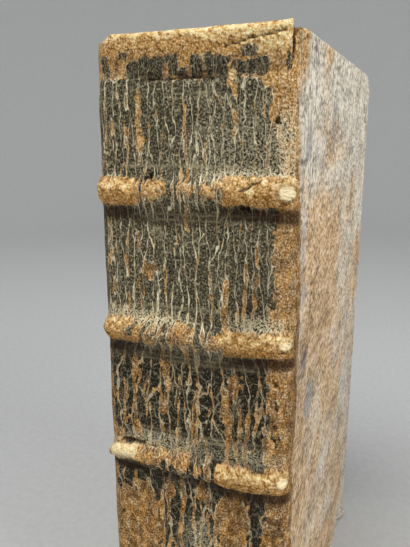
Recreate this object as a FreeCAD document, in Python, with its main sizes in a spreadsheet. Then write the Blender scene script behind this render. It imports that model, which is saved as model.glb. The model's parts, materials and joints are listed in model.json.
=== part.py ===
# Antique book in full leather, sewn on raised cords that are laced into pasteboards, with a tight back.
# It stands on its tail edges. Millimetres: +Z from tail to head, +Y from spine to fore-edge, +X towards
# the front board. The origin is the bottom centre of the bounding box.

import FreeCAD
import Part
import Sketcher
import math
import os

# Driving dimensions: name, value, meaning
SIZES = [
    ("board_height", 240.0, "height of the covers"),
    ("cover_width", 160.0, "spine face to the covers' fore-edge"),
    ("book_thickness", 62.0, "outside of one cover to the outside of the other"),
    ("spine_radius", 250.0, "rounding of the spine's leather face"),
    ("spine_leather", 1.3, "thickness of the leather on the spine"),
    ("cover_leather", 1.0, "thickness of the leather on the boards"),
    ("turn_in_leather", 0.5, "pared thickness of the leather turned in over the boards' edges"),
    ("turn_in_width", 14.0, "width of the turned-in leather inside a cover"),
    ("board_thickness", 3.6, "pasteboard"),
    ("head_corner_radius", 12.0, "worn corner at the head of the fore-edge"),
    ("tail_corner_radius", 5.0, "worn corner at the tail of the fore-edge"),
    ("paper_thickness", 0.3, "pastedown"),
    ("pastedown_margin", 4.0, "turned-in leather left bare round the pastedown"),
    ("page_square", 3.5, "overhang of the covers round the leaves"),
    ("page_gap", 0.3, "room between the leaves and each pastedown"),
    ("hinge_gap", 0.3, "room between the spine's leather and each cover"),
    ("band_count", 4.0, "raised bands"),
    ("head_panel", 42.0, "head of the boards to the first band's middle"),
    ("band_spacing", 44.4, "from band to band"),
    ("cord_diameter", 3.4, "sewing cord"),
    ("band_leather", 1.3, "thickness of the leather over a cord"),
    ("band_skirt", 1.5, "radius where a band runs out into the spine"),
    ("cap_rise", 1.1, "height of the headcap above the boards"),
    ("cap_round", 1.0, "rounding of the caps' edges"),
    ("cap_corner", 3.0, "rounding of the headcap's two outer corners"),
    ("slip_reach", 10.0, "length of a cord's slip on the board, from the joint"),
    ("slip_width", 4.0, "width of the frayed-out slip"),
    ("slip_thickness", 1.2, "depth of the slip's channel in the board"),
    ("lacing_hole", 3.0, "hole that takes the slip through the board"),
    ("edge_round", 0.8, "rounding of the leather along the boards' outer edges"),
]

# Places worked out from the driving dimensions, as formulas for the sketches
RIDGE = "(Sizes.cord_diameter + Sizes.band_leather - Sizes.spine_leather)"
HALF = "(Sizes.book_thickness / 2)"
SPINE_Y = f"(({RIDGE} - Sizes.cover_width) / 2)"
FORE_Y = f"({SPINE_Y} + Sizes.cover_width)"
AXIS_Y = f"({SPINE_Y} + Sizes.spine_radius)"
JOINT_Y = f"({AXIS_Y} - sqrt(Sizes.spine_radius ^ 2 - {HALF} ^ 2))"
COVER_Y = f"({JOINT_Y} + Sizes.spine_leather + Sizes.hinge_gap)"
BOARD_X = f"({HALF} - Sizes.cover_leather)"
INSIDE_X = f"({BOARD_X} - Sizes.board_thickness)"
TURN_IN_X = f"({INSIDE_X} - Sizes.turn_in_leather)"
PAGE_X = f"({TURN_IN_X} - Sizes.paper_thickness - Sizes.page_gap)"
PAGE_RADIUS = "(Sizes.spine_radius - Sizes.spine_leather)"
PAGE_TOP = "(Sizes.board_height - Sizes.page_square)"
PAGE_FORE_Y = f"({FORE_Y} - Sizes.page_square)"
CAP_TOP = "(Sizes.board_height + Sizes.cap_rise)"
HEAD_BAND = "(Sizes.page_square + Sizes.cap_rise - Sizes.spine_leather)"
TAIL_BAND = "(Sizes.page_square - Sizes.spine_leather)"
TOP_BAND_Z = "(Sizes.board_height - Sizes.head_panel)"
CORD_END_X = f"({HALF} - Sizes.cover_leather)"
TRIM = 6.0

doc = FreeCAD.newDocument("AntiqueBook")
sheet = doc.addObject("Spreadsheet::Sheet", "Sizes")
for row, (alias, value, meaning) in enumerate(SIZES, start=1):
    sheet.set(f"A{row}", meaning)
    sheet.set(f"B{row}", str(value))
    sheet.setAlias(f"B{row}", alias)
doc.recompute()

made = []


def value_of(formula):
    """The number that a formula of the sheet's sizes gives now."""
    return float(sheet.evalExpression(str(formula)))


def new_body(name):
    body = doc.addObject("PartDesign::Body", name)
    body.Label = name
    made.append(body)
    return body


def origin_feature(body, role):
    for feature in body.Origin.OriginFeatures:
        if feature.Role == role:
            return feature
    raise ValueError(role)


def new_sketch(body, plane, name, across="0", out="0"):
    """A sketch on an origin plane, shifted along the plane's first direction and its normal."""
    sketch = body.newObject("Sketcher::SketchObject", name)
    sketch.AttachmentSupport = [(origin_feature(body, plane), "")]
    sketch.MapMode = "FlatFace"
    sketch.setExpression("AttachmentOffset.Base.x", str(across))
    sketch.setExpression("AttachmentOffset.Base.z", str(out))
    return sketch


def tie(sketch, kind, formula, *where):
    """A dimension of the sketch that follows a formula."""
    index = sketch.addConstraint(Sketcher.Constraint(kind, *where, value_of(formula)))
    sketch.setExpression(f"Constraints[{index}]", str(formula))


def arc_between(start, end, radius, turn):
    """The arc from start to end; turn 1 bends it to the left, -1 to the right."""
    middle = (start + end) / 2
    along = end - start
    reach = math.sqrt(max(radius * radius - (along.Length / 2) ** 2, 0.0))
    left = FreeCAD.Vector(-along.y, along.x, 0).normalize()
    centre = middle + left * reach * turn
    circle = Part.Circle(centre, FreeCAD.Vector(0, 0, 1), radius)
    first = math.atan2(start.y - centre.y, start.x - centre.x)
    last = math.atan2(end.y - centre.y, end.x - centre.x)
    if turn > 0:
        return Part.ArcOfCircle(circle, first, last)
    return Part.ArcOfCircle(circle, last, first)


def outline(sketch, corners):
    """A closed loop. A corner is (across, up), or (across, up, radius, turn) where an arc starts."""
    places = [FreeCAD.Vector(value_of(corner[0]), value_of(corner[1]), 0) for corner in corners]
    ends = []
    for index, corner in enumerate(corners):
        start = places[index]
        end = places[(index + 1) % len(corners)]
        if len(corner) == 2:
            edge = sketch.addGeometry(Part.LineSegment(start, end))
            ends.append((edge, 1, 2))
        else:
            radius, turn = corner[2], corner[3]
            edge = sketch.addGeometry(arc_between(start, end, value_of(radius), turn))
            ends.append((edge, 1, 2) if turn > 0 else (edge, 2, 1))
    for index, (edge, first, last) in enumerate(ends):
        after, after_first, _ = ends[(index + 1) % len(ends)]
        sketch.addConstraint(Sketcher.Constraint("Coincident", edge, last, after, after_first))
    for index, (edge, first, last) in enumerate(ends):
        corner = corners[index]
        tie(sketch, "DistanceX", corner[0], -1, 1, edge, first)
        tie(sketch, "DistanceY", corner[1], -1, 1, edge, first)
        if len(corner) > 2:
            tie(sketch, "Radius", corner[2], edge)


def rectangle(sketch, left, right, low, high):
    outline(sketch, [(left, low), (right, low), (right, high), (left, high)])


def extrude(body, kind, sketch, name, length, reverse=False):
    """A Pad or a Pocket of the sketch."""
    feature = body.newObject(f"PartDesign::{kind}", name)
    feature.Profile = sketch
    feature.Type = "Length"
    feature.setExpression("Length", length)
    feature.Reversed = reverse
    return feature


def turn_about_axis(body, kind, sketch, name, angle):
    """A Revolution or a Groove about the sketch's upright axis, half to each side."""
    feature = body.newObject(f"PartDesign::{kind}", name)
    feature.Profile = sketch
    feature.ReferenceAxis = (sketch, ["V_Axis"])
    feature.Midplane = True
    feature.setExpression("Angle", angle)
    return feature


def repeat_down(body, feature, name):
    """Repeats a feature of the first band at every band below it."""
    pattern = body.newObject("PartDesign::LinearPattern", name)
    pattern.Originals = [feature]
    pattern.Direction = (origin_feature(body, "Z_Axis"), [""])
    pattern.Reversed = True
    pattern.Mode = "Spacing"
    pattern.setExpression("Offset", "Sizes.band_spacing")
    pattern.setExpression("Occurrences", "Sizes.band_count")
    body.Tip = pattern
    return pattern


def deep(depth):
    """Across a spine section: a depth below the leather's face."""
    return f"(({depth}) - Sizes.spine_radius)"


def half_turn_angle(reach, radius):
    """The full angle of a piece that reaches as far as this to each side."""
    return f"2 * asin({reach} / {radius})"


def arch(base, width, foot, side):
    """A round-backed section flattened against what it lies on; side 1 rises, -1 stands out."""
    half = f"({width}) / 2"
    if side > 0:
        return [
            (deep(base), foot),
            (deep(f"{base} + {width}"), foot),
            (deep(f"{base} + {width}"), f"{foot} + {half}", half, 1),
            (deep(f"{base} + {half}"), f"{foot} + {width}", half, 1),
            (deep(base), f"{foot} + {half}"),
        ]
    return [
        (deep(base), f"{foot} - {half}"),
        (deep(base), f"{foot} + {half}"),
        (deep(f"{base} - {half}"), f"{foot} + {half}", half, 1),
        (deep(f"{base} - {width}"), foot, half, 1),
        (deep(f"{base} - {half}"), f"{foot} - {half}"),
    ]


def text_block():
    """The sewn leaves: rounded at the spine and hollowed as much at the fore-edge."""
    body = new_body("text_block")
    sketch = new_sketch(body, "XY_Plane", "Leaves", out="Sizes.page_square")
    shoulder = f"{AXIS_Y} - sqrt({PAGE_RADIUS} ^ 2 - {PAGE_X} ^ 2)"
    outline(sketch, [
        (f"-{PAGE_X}", shoulder, PAGE_RADIUS, 1),
        (PAGE_X, shoulder),
        (PAGE_X, PAGE_FORE_Y, PAGE_RADIUS, -1),
        (f"-{PAGE_X}", PAGE_FORE_Y),
    ])
    extrude(body, "Pad", sketch, "Stack", f"{PAGE_TOP} - Sizes.page_square")


def sewing_cord(number):
    """One cord across the leaves' back, under a raised band."""
    body = new_body(f"sewing_cord_{number}")
    height = f"{TOP_BAND_Z} - {number - 1} * Sizes.band_spacing"
    sketch = new_sketch(body, "YZ_Plane", f"Cord{number}", across=AXIS_Y)
    outline(sketch, arch("Sizes.spine_leather", "Sizes.cord_diameter", height, -1))
    turn_about_axis(body, "Revolution", sketch, f"Sewn{number}", half_turn_angle(CORD_END_X, "Sizes.spine_radius"))


def endband(name, foot, width):
    """The rolled core of an endband, on the end of the leaves at the spine."""
    body = new_body(name)
    sketch = new_sketch(body, "YZ_Plane", f"{name}_section", across=AXIS_Y)
    section = arch("Sizes.spine_leather", width, foot, 1)
    if name == "tail_band":
        section = mirrored_down(section, foot)
    outline(sketch, section)
    turn_about_axis(body, "Revolution", sketch, f"{name}_roll", half_turn_angle(PAGE_X, "Sizes.spine_radius"))


def mirrored_down(section, foot):
    """The same section hanging below its foot, with its loop run the other way round."""
    flipped = []
    for index in range(len(section)):
        corner = section[-index]
        up = f"2 * ({foot}) - ({corner[1]})"
        before = section[-index - 1]
        if len(before) > 2:
            flipped.append((corner[0], up, before[2], before[3]))
        else:
            flipped.append((corner[0], up))
    return flipped


def cap_hook(body, name, foot, top, width, side):
    """The leather turned over an endband, as wide as the leaves; side 1 is the head, -1 the tail."""
    sketch = new_sketch(body, "YZ_Plane", f"{name}_section", across=AXIS_Y)
    half = f"({width}) / 2"
    back = f"Sizes.spine_leather + {width}"
    section = [
        (deep("Sizes.spine_leather / 2"), foot),
        (deep("Sizes.spine_leather"), foot),
        (deep("Sizes.spine_leather"), f"{foot} + {side} * {half}", half, -side),
        (deep(f"Sizes.spine_leather + {half}"), f"{foot} + {side} * {width}"),
        (deep(back), f"{foot} + {side} * {width}"),
        (deep(back), f"{top} - {side} * Sizes.cap_round", "Sizes.cap_round", side),
        (deep(f"{back} - Sizes.cap_round"), top),
        (deep("Sizes.spine_leather / 2"), top),
    ]
    outline(sketch, section)
    turn_about_axis(body, "Revolution", sketch, name, half_turn_angle(PAGE_X, "Sizes.spine_radius"))


def spine_leather():
    """The leather over the spine: a rounded back with raised bands, closed by a cap at each end."""
    body = new_body("spine_leather")
    full = f"2 * asin({HALF} / Sizes.spine_radius) + 1 deg"

    plate = new_sketch(body, "YZ_Plane", "Back", across=AXIS_Y)
    outline(plate, [
        (deep("0"), "0"),
        (deep("Sizes.spine_leather"), "0"),
        (deep("Sizes.spine_leather"), CAP_TOP),
        (deep("Sizes.cap_round"), CAP_TOP, "Sizes.cap_round", 1),
        (deep("0"), f"{CAP_TOP} - Sizes.cap_round"),
    ])
    turn_about_axis(body, "Revolution", plate, "BackLeather", full)

    cap_hook(body, "Headcap", PAGE_TOP, CAP_TOP, HEAD_BAND, 1)
    cap_hook(body, "Tailcap", "Sizes.page_square", "0", TAIL_BAND, -1)

    sink = "(Sizes.cord_diameter / 2 - Sizes.spine_leather)"
    over = "(Sizes.cord_diameter / 2 + Sizes.band_leather)"
    reach = f"({over} + Sizes.band_skirt)"
    spread = f"sqrt({reach} ^ 2 - (Sizes.band_skirt - {sink}) ^ 2)"
    lift = f"({sink} + (Sizes.band_skirt - {sink}) * {over} / {reach})"
    half = f"({spread} * {over} / {reach})"
    ridge = new_sketch(body, "YZ_Plane", "Band", across=AXIS_Y)
    outline(ridge, [
        (deep("Sizes.spine_leather / 2"), f"{TOP_BAND_Z} - {spread}"),
        (deep("Sizes.spine_leather / 2"), f"{TOP_BAND_Z} + {spread}"),
        (deep("0"), f"{TOP_BAND_Z} + {spread}", "Sizes.band_skirt", -1),
        (deep(f"-{lift}"), f"{TOP_BAND_Z} + {half}", over, 1),
        (deep(f"-{RIDGE}"), TOP_BAND_Z, over, 1),
        (deep(f"-{lift}"), f"{TOP_BAND_Z} - {half}", "Sizes.band_skirt", -1),
        (deep("0"), f"{TOP_BAND_Z} - {spread}"),
    ])
    doc.recompute()
    repeat_down(body, turn_about_axis(body, "Revolution", ridge, "RaisedBand", full), "RaisedBands")

    seat = new_sketch(body, "YZ_Plane", "CordSeat", across=AXIS_Y)
    outline(seat, arch("Sizes.spine_leather", "Sizes.cord_diameter", TOP_BAND_Z, -1))
    doc.recompute()
    angle = half_turn_angle(CORD_END_X, "Sizes.spine_radius")
    repeat_down(body, turn_about_axis(body, "Groove", seat, "CordGroove", angle), "CordGrooves")

    sides = new_sketch(body, "XZ_Plane", "Joints")
    beyond = f"({HALF} + {TRIM})"
    for side in (1, -1):
        outline(sides, [
            (f"{side} * {HALF}", f"-{TRIM}"),
            (f"{side} * {beyond}", f"-{TRIM}"),
            (f"{side} * {beyond}", f"{CAP_TOP} + {TRIM}"),
            (f"{side} * ({HALF} - Sizes.cap_corner)", f"{CAP_TOP} + {TRIM}"),
            (f"{side} * ({HALF} - Sizes.cap_corner)", CAP_TOP, "Sizes.cap_corner", -side),
            (f"{side} * {HALF}", f"{CAP_TOP} - Sizes.cap_corner"),
        ])
    trim = extrude(body, "Pocket", sides, "JointTrim", "Sizes.cover_width")
    trim.SideType = "Symmetric"
    trim.setExpression("Length", "2 * Sizes.cover_width")


def cover_outline(sketch, inset):
    """A cover's outline, square at the spine and round at the worn fore-edge corners."""
    head = f"(Sizes.head_corner_radius - {inset})"
    tail = f"(Sizes.tail_corner_radius - {inset})"
    high = f"(Sizes.board_height - {inset})"
    fore = f"({FORE_Y} - {inset})"
    outline(sketch, [
        (COVER_Y, inset),
        (f"{fore} - {tail}", inset, tail, 1),
        (fore, f"{inset} + {tail}"),
        (fore, f"{high} - {head}", head, 1),
        (f"{fore} - {head}", high),
        (COVER_Y, high),
    ])


def cover_leather(name, side):
    """The leather on one board, with its edges turned in at the head, tail and fore-edge."""
    body = new_body(name)
    front = side > 0
    skin = new_sketch(body, "YZ_Plane", f"{name}_outside", out=f"{side} * {HALF}")
    cover_outline(skin, "0")
    depth = "Sizes.cover_leather + Sizes.board_thickness + Sizes.turn_in_leather"
    slab = extrude(body, "Pad", skin, f"{name}_skin", depth, front)
    doc.recompute()
    round_edges(body, slab, f"{name}_edges", side)
    room = new_sketch(body, "YZ_Plane", f"{name}_room", out=f"{side} * {BOARD_X}")
    cover_outline(room, "Sizes.cover_leather")
    extrude(body, "Pocket", room, f"{name}_board_room", "Sizes.board_thickness", not front)
    window = new_sketch(body, "YZ_Plane", f"{name}_window", out=f"{side} * {INSIDE_X}")
    turn_in_window(window)
    extrude(body, "Pocket", window, f"{name}_turn_ins", "Sizes.turn_in_leather", not front)


def round_edges(body, slab, name, side):
    """Rounds the slab's outer edges at the head, tail and fore-edge, and leaves the joint square."""
    outside = side * value_of(HALF)
    joint = value_of(COVER_Y)
    chosen = []
    for index, edge in enumerate(slab.Shape.Edges, start=1):
        on_face = all(abs(vertex.X - outside) < 0.001 for vertex in edge.Vertexes)
        on_joint = all(abs(vertex.Y - joint) < 0.001 for vertex in edge.Vertexes)
        if on_face and not on_joint:
            chosen.append(f"Edge{index}")
    fillet = body.newObject("PartDesign::Fillet", name)
    fillet.Base = (slab, chosen)
    fillet.setExpression("Radius", "Sizes.edge_round")


def turn_in_window(sketch):
    """The part of a board's inside that the turned-in leather leaves free."""
    high = "Sizes.board_height - Sizes.turn_in_width"
    rectangle(sketch, COVER_Y, f"{FORE_Y} - Sizes.turn_in_width", "Sizes.turn_in_width", high)


def pasteboard(name, side):
    """One board, with a channel and a hole for the slip of each cord."""
    body = new_body(name)
    front = side > 0
    sheet_face = new_sketch(body, "YZ_Plane", f"{name}_sheet", out=f"{side} * {BOARD_X}")
    cover_outline(sheet_face, "Sizes.cover_leather")
    extrude(body, "Pad", sheet_face, f"{name}_blank", "Sizes.board_thickness", front)
    channel = new_sketch(body, "YZ_Plane", f"{name}_channel", out=f"{side} * {BOARD_X}")
    slip_outline(channel, TOP_BAND_Z)
    doc.recompute()
    cut = extrude(body, "Pocket", channel, f"{name}_slip_channel", "Sizes.slip_thickness", not front)
    repeat_down(body, cut, f"{name}_slip_channels")
    lacing = new_sketch(body, "YZ_Plane", f"{name}_lacing", out=f"{side} * {BOARD_X}")
    lacing_circle(lacing, TOP_BAND_Z)
    doc.recompute()
    hole = extrude(body, "Pocket", lacing, f"{name}_lacing_hole", "Sizes.board_thickness", not front)
    repeat_down(body, hole, f"{name}_lacing_holes")


def slip_outline(sketch, height):
    half = "Sizes.slip_width / 2"
    rectangle(sketch, COVER_Y, f"{COVER_Y} + Sizes.slip_reach", f"{height} - {half}", f"{height} + {half}")


def lacing_circle(sketch, height):
    across = f"{COVER_Y} + Sizes.slip_reach - Sizes.slip_width / 2"
    radius = "Sizes.lacing_hole / 2"
    centre = FreeCAD.Vector(value_of(across), value_of(height), 0)
    circle = Part.Circle(centre, FreeCAD.Vector(0, 0, 1), value_of(radius))
    edge = sketch.addGeometry(circle)
    tie(sketch, "DistanceX", across, -1, 1, edge, 3)
    tie(sketch, "DistanceY", height, -1, 1, edge, 3)
    tie(sketch, "Radius", radius, edge)


def cord_slip(name, number, side):
    """The end of a cord, frayed flat into the board's channel and drawn through its hole."""
    body = new_body(f"{name}_{number}")
    front = side > 0
    height = f"{TOP_BAND_Z} - {number - 1} * Sizes.band_spacing"
    flat = new_sketch(body, "YZ_Plane", f"{name}_{number}_flat", out=f"{side} * {BOARD_X}")
    slip_outline(flat, height)
    extrude(body, "Pad", flat, f"{name}_{number}_frayed", "Sizes.slip_thickness", front)
    plug = new_sketch(body, "YZ_Plane", f"{name}_{number}_plug", out=f"{side} * {BOARD_X}")
    lacing_circle(plug, height)
    extrude(body, "Pad", plug, f"{name}_{number}_laced", "Sizes.board_thickness", front)


def pastedown(name, side):
    """The paper pasted inside a cover: it fills the window and laps over the turned-in leather."""
    body = new_body(name)
    front = side > 0
    inner = new_sketch(body, "YZ_Plane", f"{name}_filled", out=f"{side} * {INSIDE_X}")
    turn_in_window(inner)
    extrude(body, "Pad", inner, f"{name}_fill", "Sizes.turn_in_leather + Sizes.paper_thickness", front)
    lap = new_sketch(body, "YZ_Plane", f"{name}_lapped", out=f"{side} * {TURN_IN_X}")
    margin = "Sizes.pastedown_margin"
    high = f"Sizes.board_height - {margin}"
    rectangle(lap, COVER_Y, f"{FORE_Y} - {margin}", margin, high)
    extrude(body, "Pad", lap, f"{name}_lap", "Sizes.paper_thickness", front)


def check(objects):
    """Stops before anything is written where a feature failed or a piece isn't one valid solid."""
    for item in doc.Objects:
        faults = [state for state in item.State if state in ("Invalid", "Error")]
        if faults:
            raise RuntimeError(f"{item.Name}: {faults}")
    for item in objects:
        shape = item.Shape
        if shape.isNull() or not shape.isValid() or len(shape.Solids) != 1:
            raise RuntimeError(f"{item.Label}: not one valid solid")


def main():
    numbers = range(1, int(value_of("Sizes.band_count")) + 1)
    text_block()
    for number in numbers:
        sewing_cord(number)
    endband("head_band", PAGE_TOP, HEAD_BAND)
    endband("tail_band", "Sizes.page_square", TAIL_BAND)
    spine_leather()
    for cover, side in (("front", 1), ("back", -1)):
        pasteboard(f"{cover}_board", side)
        for number in numbers:
            cord_slip(f"{cover}_slip", number, side)
        cover_leather(f"{cover}_leather", side)
        pastedown(f"{cover}_pastedown", side)
    doc.recompute()
    check(made)
    os.makedirs("parts", exist_ok=True)
    for item in made:
        item.Shape.exportStep(f"parts/{item.Label}.step")
        box = item.Shape.BoundBox
        low = f"{box.XMin:8.2f} {box.YMin:8.2f} {box.ZMin:8.2f}"
        high = f"{box.XMax:8.2f} {box.YMax:8.2f} {box.ZMax:8.2f}"
        print(f"{item.Label:18s} {low}   {high}   {item.Shape.Volume:12.1f}")
    print("joint pivot y", round(value_of(JOINT_Y), 4))


main()
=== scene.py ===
"""An antique leather book with raised bands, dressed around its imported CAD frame."""

import json
import math
from functools import partial

import bpy
import numpy as np
from mathutils import Matrix, Vector


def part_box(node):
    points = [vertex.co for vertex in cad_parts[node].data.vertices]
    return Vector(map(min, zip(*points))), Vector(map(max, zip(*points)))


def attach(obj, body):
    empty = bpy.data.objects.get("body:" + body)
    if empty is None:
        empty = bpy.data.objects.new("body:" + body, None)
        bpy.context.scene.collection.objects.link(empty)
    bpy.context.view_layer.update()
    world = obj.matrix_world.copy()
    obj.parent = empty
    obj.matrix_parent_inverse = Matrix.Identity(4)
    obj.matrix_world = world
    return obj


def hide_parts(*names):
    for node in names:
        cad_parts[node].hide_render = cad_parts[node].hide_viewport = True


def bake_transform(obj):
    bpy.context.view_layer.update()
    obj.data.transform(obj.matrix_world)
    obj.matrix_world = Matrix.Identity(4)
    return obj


bl_info = {
    "name": "Antique Leather Book",
    "version": (1, 0, 0),
    "blender": (4, 5, 0),
    "location": "View3D > Sidebar > Old Book",
    "description": "Dresses a CAD book in worn, cracked leather over raised bands",
    "category": "Object",
}

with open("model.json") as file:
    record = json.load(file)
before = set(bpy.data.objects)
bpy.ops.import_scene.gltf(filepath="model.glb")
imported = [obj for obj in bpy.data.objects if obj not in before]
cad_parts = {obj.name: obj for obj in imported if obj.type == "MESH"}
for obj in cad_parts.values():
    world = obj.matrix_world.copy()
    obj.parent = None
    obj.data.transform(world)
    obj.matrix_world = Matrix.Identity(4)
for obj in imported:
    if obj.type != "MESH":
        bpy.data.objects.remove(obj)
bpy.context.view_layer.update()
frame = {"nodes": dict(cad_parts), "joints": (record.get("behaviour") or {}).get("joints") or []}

MM = 0.001


def corners(node):
    """The lowest and highest corner of a CAD node, in millimetres."""
    low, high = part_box(node)
    return low / MM, high / MM


SPINE_LOW, SPINE_HIGH = corners("spine_leather")
BOARD_LOW, BOARD_HIGH = corners("front_leather")
BLOCK_LOW, BLOCK_HIGH = corners("text_block")
HEAD_LOW, HEAD_HIGH = corners("head_band")
TAIL_LOW, TAIL_HIGH = corners("tail_band")
JOINTS = {joint["name"]: joint for joint in frame["joints"]}

# The book's plan, in millimetres: the spine is a round between two arrises, where the joints turn,
# and each cover runs straight on from there. RIDGE_RISE is how far the CAD bands stand out of it.
RIDGE_RISE = 3.4
SPINE = SPINE_LOW.y + RIDGE_RISE
ARRIS = JOINTS["front_cover_hinge"]["pos_m"][1] / MM
HALF = BOARD_HIGH.x
INSIDE = BOARD_LOW.x
COVER = BOARD_LOW.y
FORE = BOARD_HIGH.y
BOARD_TOP = BOARD_HIGH.z
CAP_TOP = SPINE_HIGH.z
SAG = ARRIS - SPINE
ROUND = (HALF * HALF + SAG * SAG) / (2 * SAG)
AXIS = SPINE + ROUND
LEAN = math.asin(HALF / ROUND)
REACH = ROUND * LEAN
TURN = math.pi / 2 - LEAN
# Where the spine's skin ends and each cover's begins, on the spine's round.
SEAM = 25.0
# The covers' rounded corners at the fore edge, the round of their folded edges, and the leather's
# thickness on the spine.
HEAD_CORNER = 12.0
TAIL_CORNER = 5.0
EDGE_ROUND = 0.8
LEATHER = 1.3
# Rows of points up the outside of a skin, and up its inside.
ROWS_UP = 452
ROWS_IN = 34


def linear(code):
    """An sRGB hex colour as a linear RGBA tuple."""
    parts = [int(code[i:i + 2], 16) / 255 for i in (1, 3, 5)]
    return tuple(p / 12.92 if p <= 0.04045 else ((p + 0.055) / 1.055) ** 2.4 for p in parts) + (1.0,)


# Numbers over the leather: across is measured from the middle of the spine and on round the
# joint over a cover, up from the tail, both in millimetres.

def ease(start, end, value):
    """0 before the start, 1 past the end, a smooth rise between."""
    t = np.clip((value - start) / (end - start), 0.0, 1.0)
    return t * t * (3 - 2 * t)


def between(value, low, high, soft):
    """1 from low to high, 0 outside, soft at both limits."""
    return ease(low - soft, low + soft, value) * (1 - ease(high - soft, high + soft, value))


def along(value, points):
    """The height at a value on the straight pieces through the points."""
    return np.interp(value, [p[0] for p in points], [p[1] for p in points])


def waves(across, up, seed, cell, tall=None):
    """Smooth value noise from -1 to 1 on cells of cell by tall millimetres."""
    tall = tall or cell
    table = np.random.default_rng(seed).uniform(-1, 1, (128, 128))
    a, b = across / cell + 500, up / tall + 500
    i, j = np.floor(a).astype(int), np.floor(b).astype(int)
    f, g = a - i, b - j
    f, g = f * f * (3 - 2 * f), g * g * (3 - 2 * g)
    low = table[i % 128, j % 128] * (1 - f) + table[(i + 1) % 128, j % 128] * f
    high = table[i % 128, (j + 1) % 128] * (1 - f) + table[(i + 1) % 128, (j + 1) % 128] * f
    return low * (1 - g) + high * g


def oval(across, up, a, z, wide, tall, soft=0.3):
    """1 inside an oval patch round a and z, 0 outside, soft at its rim."""
    return 1 - ease(1 - soft, 1 + soft, np.hypot((across - a) / wide, (up - z) / tall))


def ovals(across, up, table, soft):
    """1 inside any oval of the table."""
    return np.maximum.reduce([oval(across, up, *row, soft) for row in table])


def crack(across, up, points, width):
    """1 along a line through the points, fading to 0 at its width."""
    best = np.full(np.shape(across), 1e9)
    for (a0, z0), (a1, z1) in zip(points, points[1:]):
        length = (a1 - a0) ** 2 + (z1 - z0) ** 2
        t = np.clip(((across - a0) * (a1 - a0) + (up - z0) * (z1 - z0)) / length, 0, 1)
        best = np.minimum(best, np.hypot(across - a0 - t * (a1 - a0), up - z0 - t * (z1 - z0)))
    return 1 - ease(width * 0.3, width, best)


def ruled(across, up, line, near, far):
    """1 on a line ruled over the spine, which climbs a little to the right."""
    height, start, end = line
    return between(across, start, end, 1.5) * (1 - ease(near, far, np.abs(up - height - 0.012 * across)))


# Each band: its centre line, its rise, its half width and how full its round is (0 flat to 1).
BANDS = (
    (
        ((-34, 196.7), (-18, 197.1), (3, 197.7), (14, 198.4), (34, 198.0)),
        ((-33, 3.3), (-20, 3.3), (-15, 2.6), (7, 2.5), (12.5, 3.5), (33, 3.5)),
        ((-33, 4.7), (-20, 4.5), (-14, 5.2), (8, 5.2), (13, 4.7), (33, 4.8)),
        ((-33, 0.9), (-19, 0.8), (-14, 0.1), (8, 0.1), (13, 1.0), (33, 1.0)),
    ),
    (
        ((-34, 153.2), (-23, 153.8), (-9, 154.1), (9, 153.6), (14, 153.5), (34, 154.8)),
        ((-33, 3.2), (-22, 3.1), (-8, 2.5), (8, 1.9), (13, 3.3), (33, 3.4)),
        ((-33, 4.3), (-22, 4.4), (-8, 5.2), (8, 5.4), (13, 4.3), (33, 4.3)),
        ((-33, 0.9), (-22, 0.7), (-8, 0.1), (8, 0.0), (12.5, 1.0), (33, 1.0)),
    ),
    (
        ((-34, 108.2), (-26, 110.2), (-18, 111.3), (-12, 110.2), (0, 110.1), (8, 110.0), (12, 109.4),
         (20, 109.2), (34, 110.3)),
        ((-33, 3.2), (-18, 3.2), (-14, 2.7), (7, 2.3), (9.5, 3.3), (33, 3.5)),
        ((-33, 2.7), (-18, 2.9), (-12, 3.9), (7, 3.9), (9.5, 4.4), (33, 4.4)),
        ((-33, 1.0), (-18.5, 0.8), (-15, 0.2), (7.5, 0.1), (9.0, 1.0), (33, 1.0)),
    ),
    (
        ((-34, 64.2), (-10, 65.2), (12, 64.6), (34, 64.9)),
        ((-33, 3.2), (-17, 3.1), (-9, 2.3), (12, 2.4), (19, 3.2), (33, 3.3)),
        ((-33, 4.4), (-17, 4.4), (-9, 5.2), (12, 5.1), (19, 4.4), (33, 4.5)),
        ((-33, 0.9), (-17, 0.8), (-9, 0.1), (12, 0.1), (19, 0.9), (33, 0.9)),
    ),
)
# The cords that the sewing laid across the spine, which the leather covers: their heights, and
# the rise and half width of the leather over them.
CORDS = tuple((low.z + high.z) / 2 for low, high in (corners(f"sewing_cord_{n}") for n in (1, 2, 3, 4)))
CORD_COVER = 2.75
CORD_REACH = 3.3
# The leather has gone from the third band's left end as far as here, so that its cord shows.
CORD_BARE = -19.4
# Ends of the cords that show as pale round plugs on the bands: place and radius.
PLUGS = ((27.9, 198.3, 1.85), (28.6, 155.3, 1.35), (29.0, 111.2, 1.5), (28.3, 65.0, 1.3))
# Wormholes and small tears: place and radius.
HOLES = (
    (24.7, 217.0, 0.75), (-12.2, 201.7, 0.8), (-13.6, 200.9, 0.55), (15.6, 193.9, 0.85), (17.2, 193.8, 0.6),
    (-11.0, 107.2, 0.95), (26.3, 141.9, 0.7), (26.7, 134.3, 0.65), (26.4, 127.9, 0.7), (-26.5, 86.0, 0.6),
    (20.8, 40.2, 0.7), (-7.0, 22.0, 0.6), (12.4, 12.0, 0.7),
)
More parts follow.
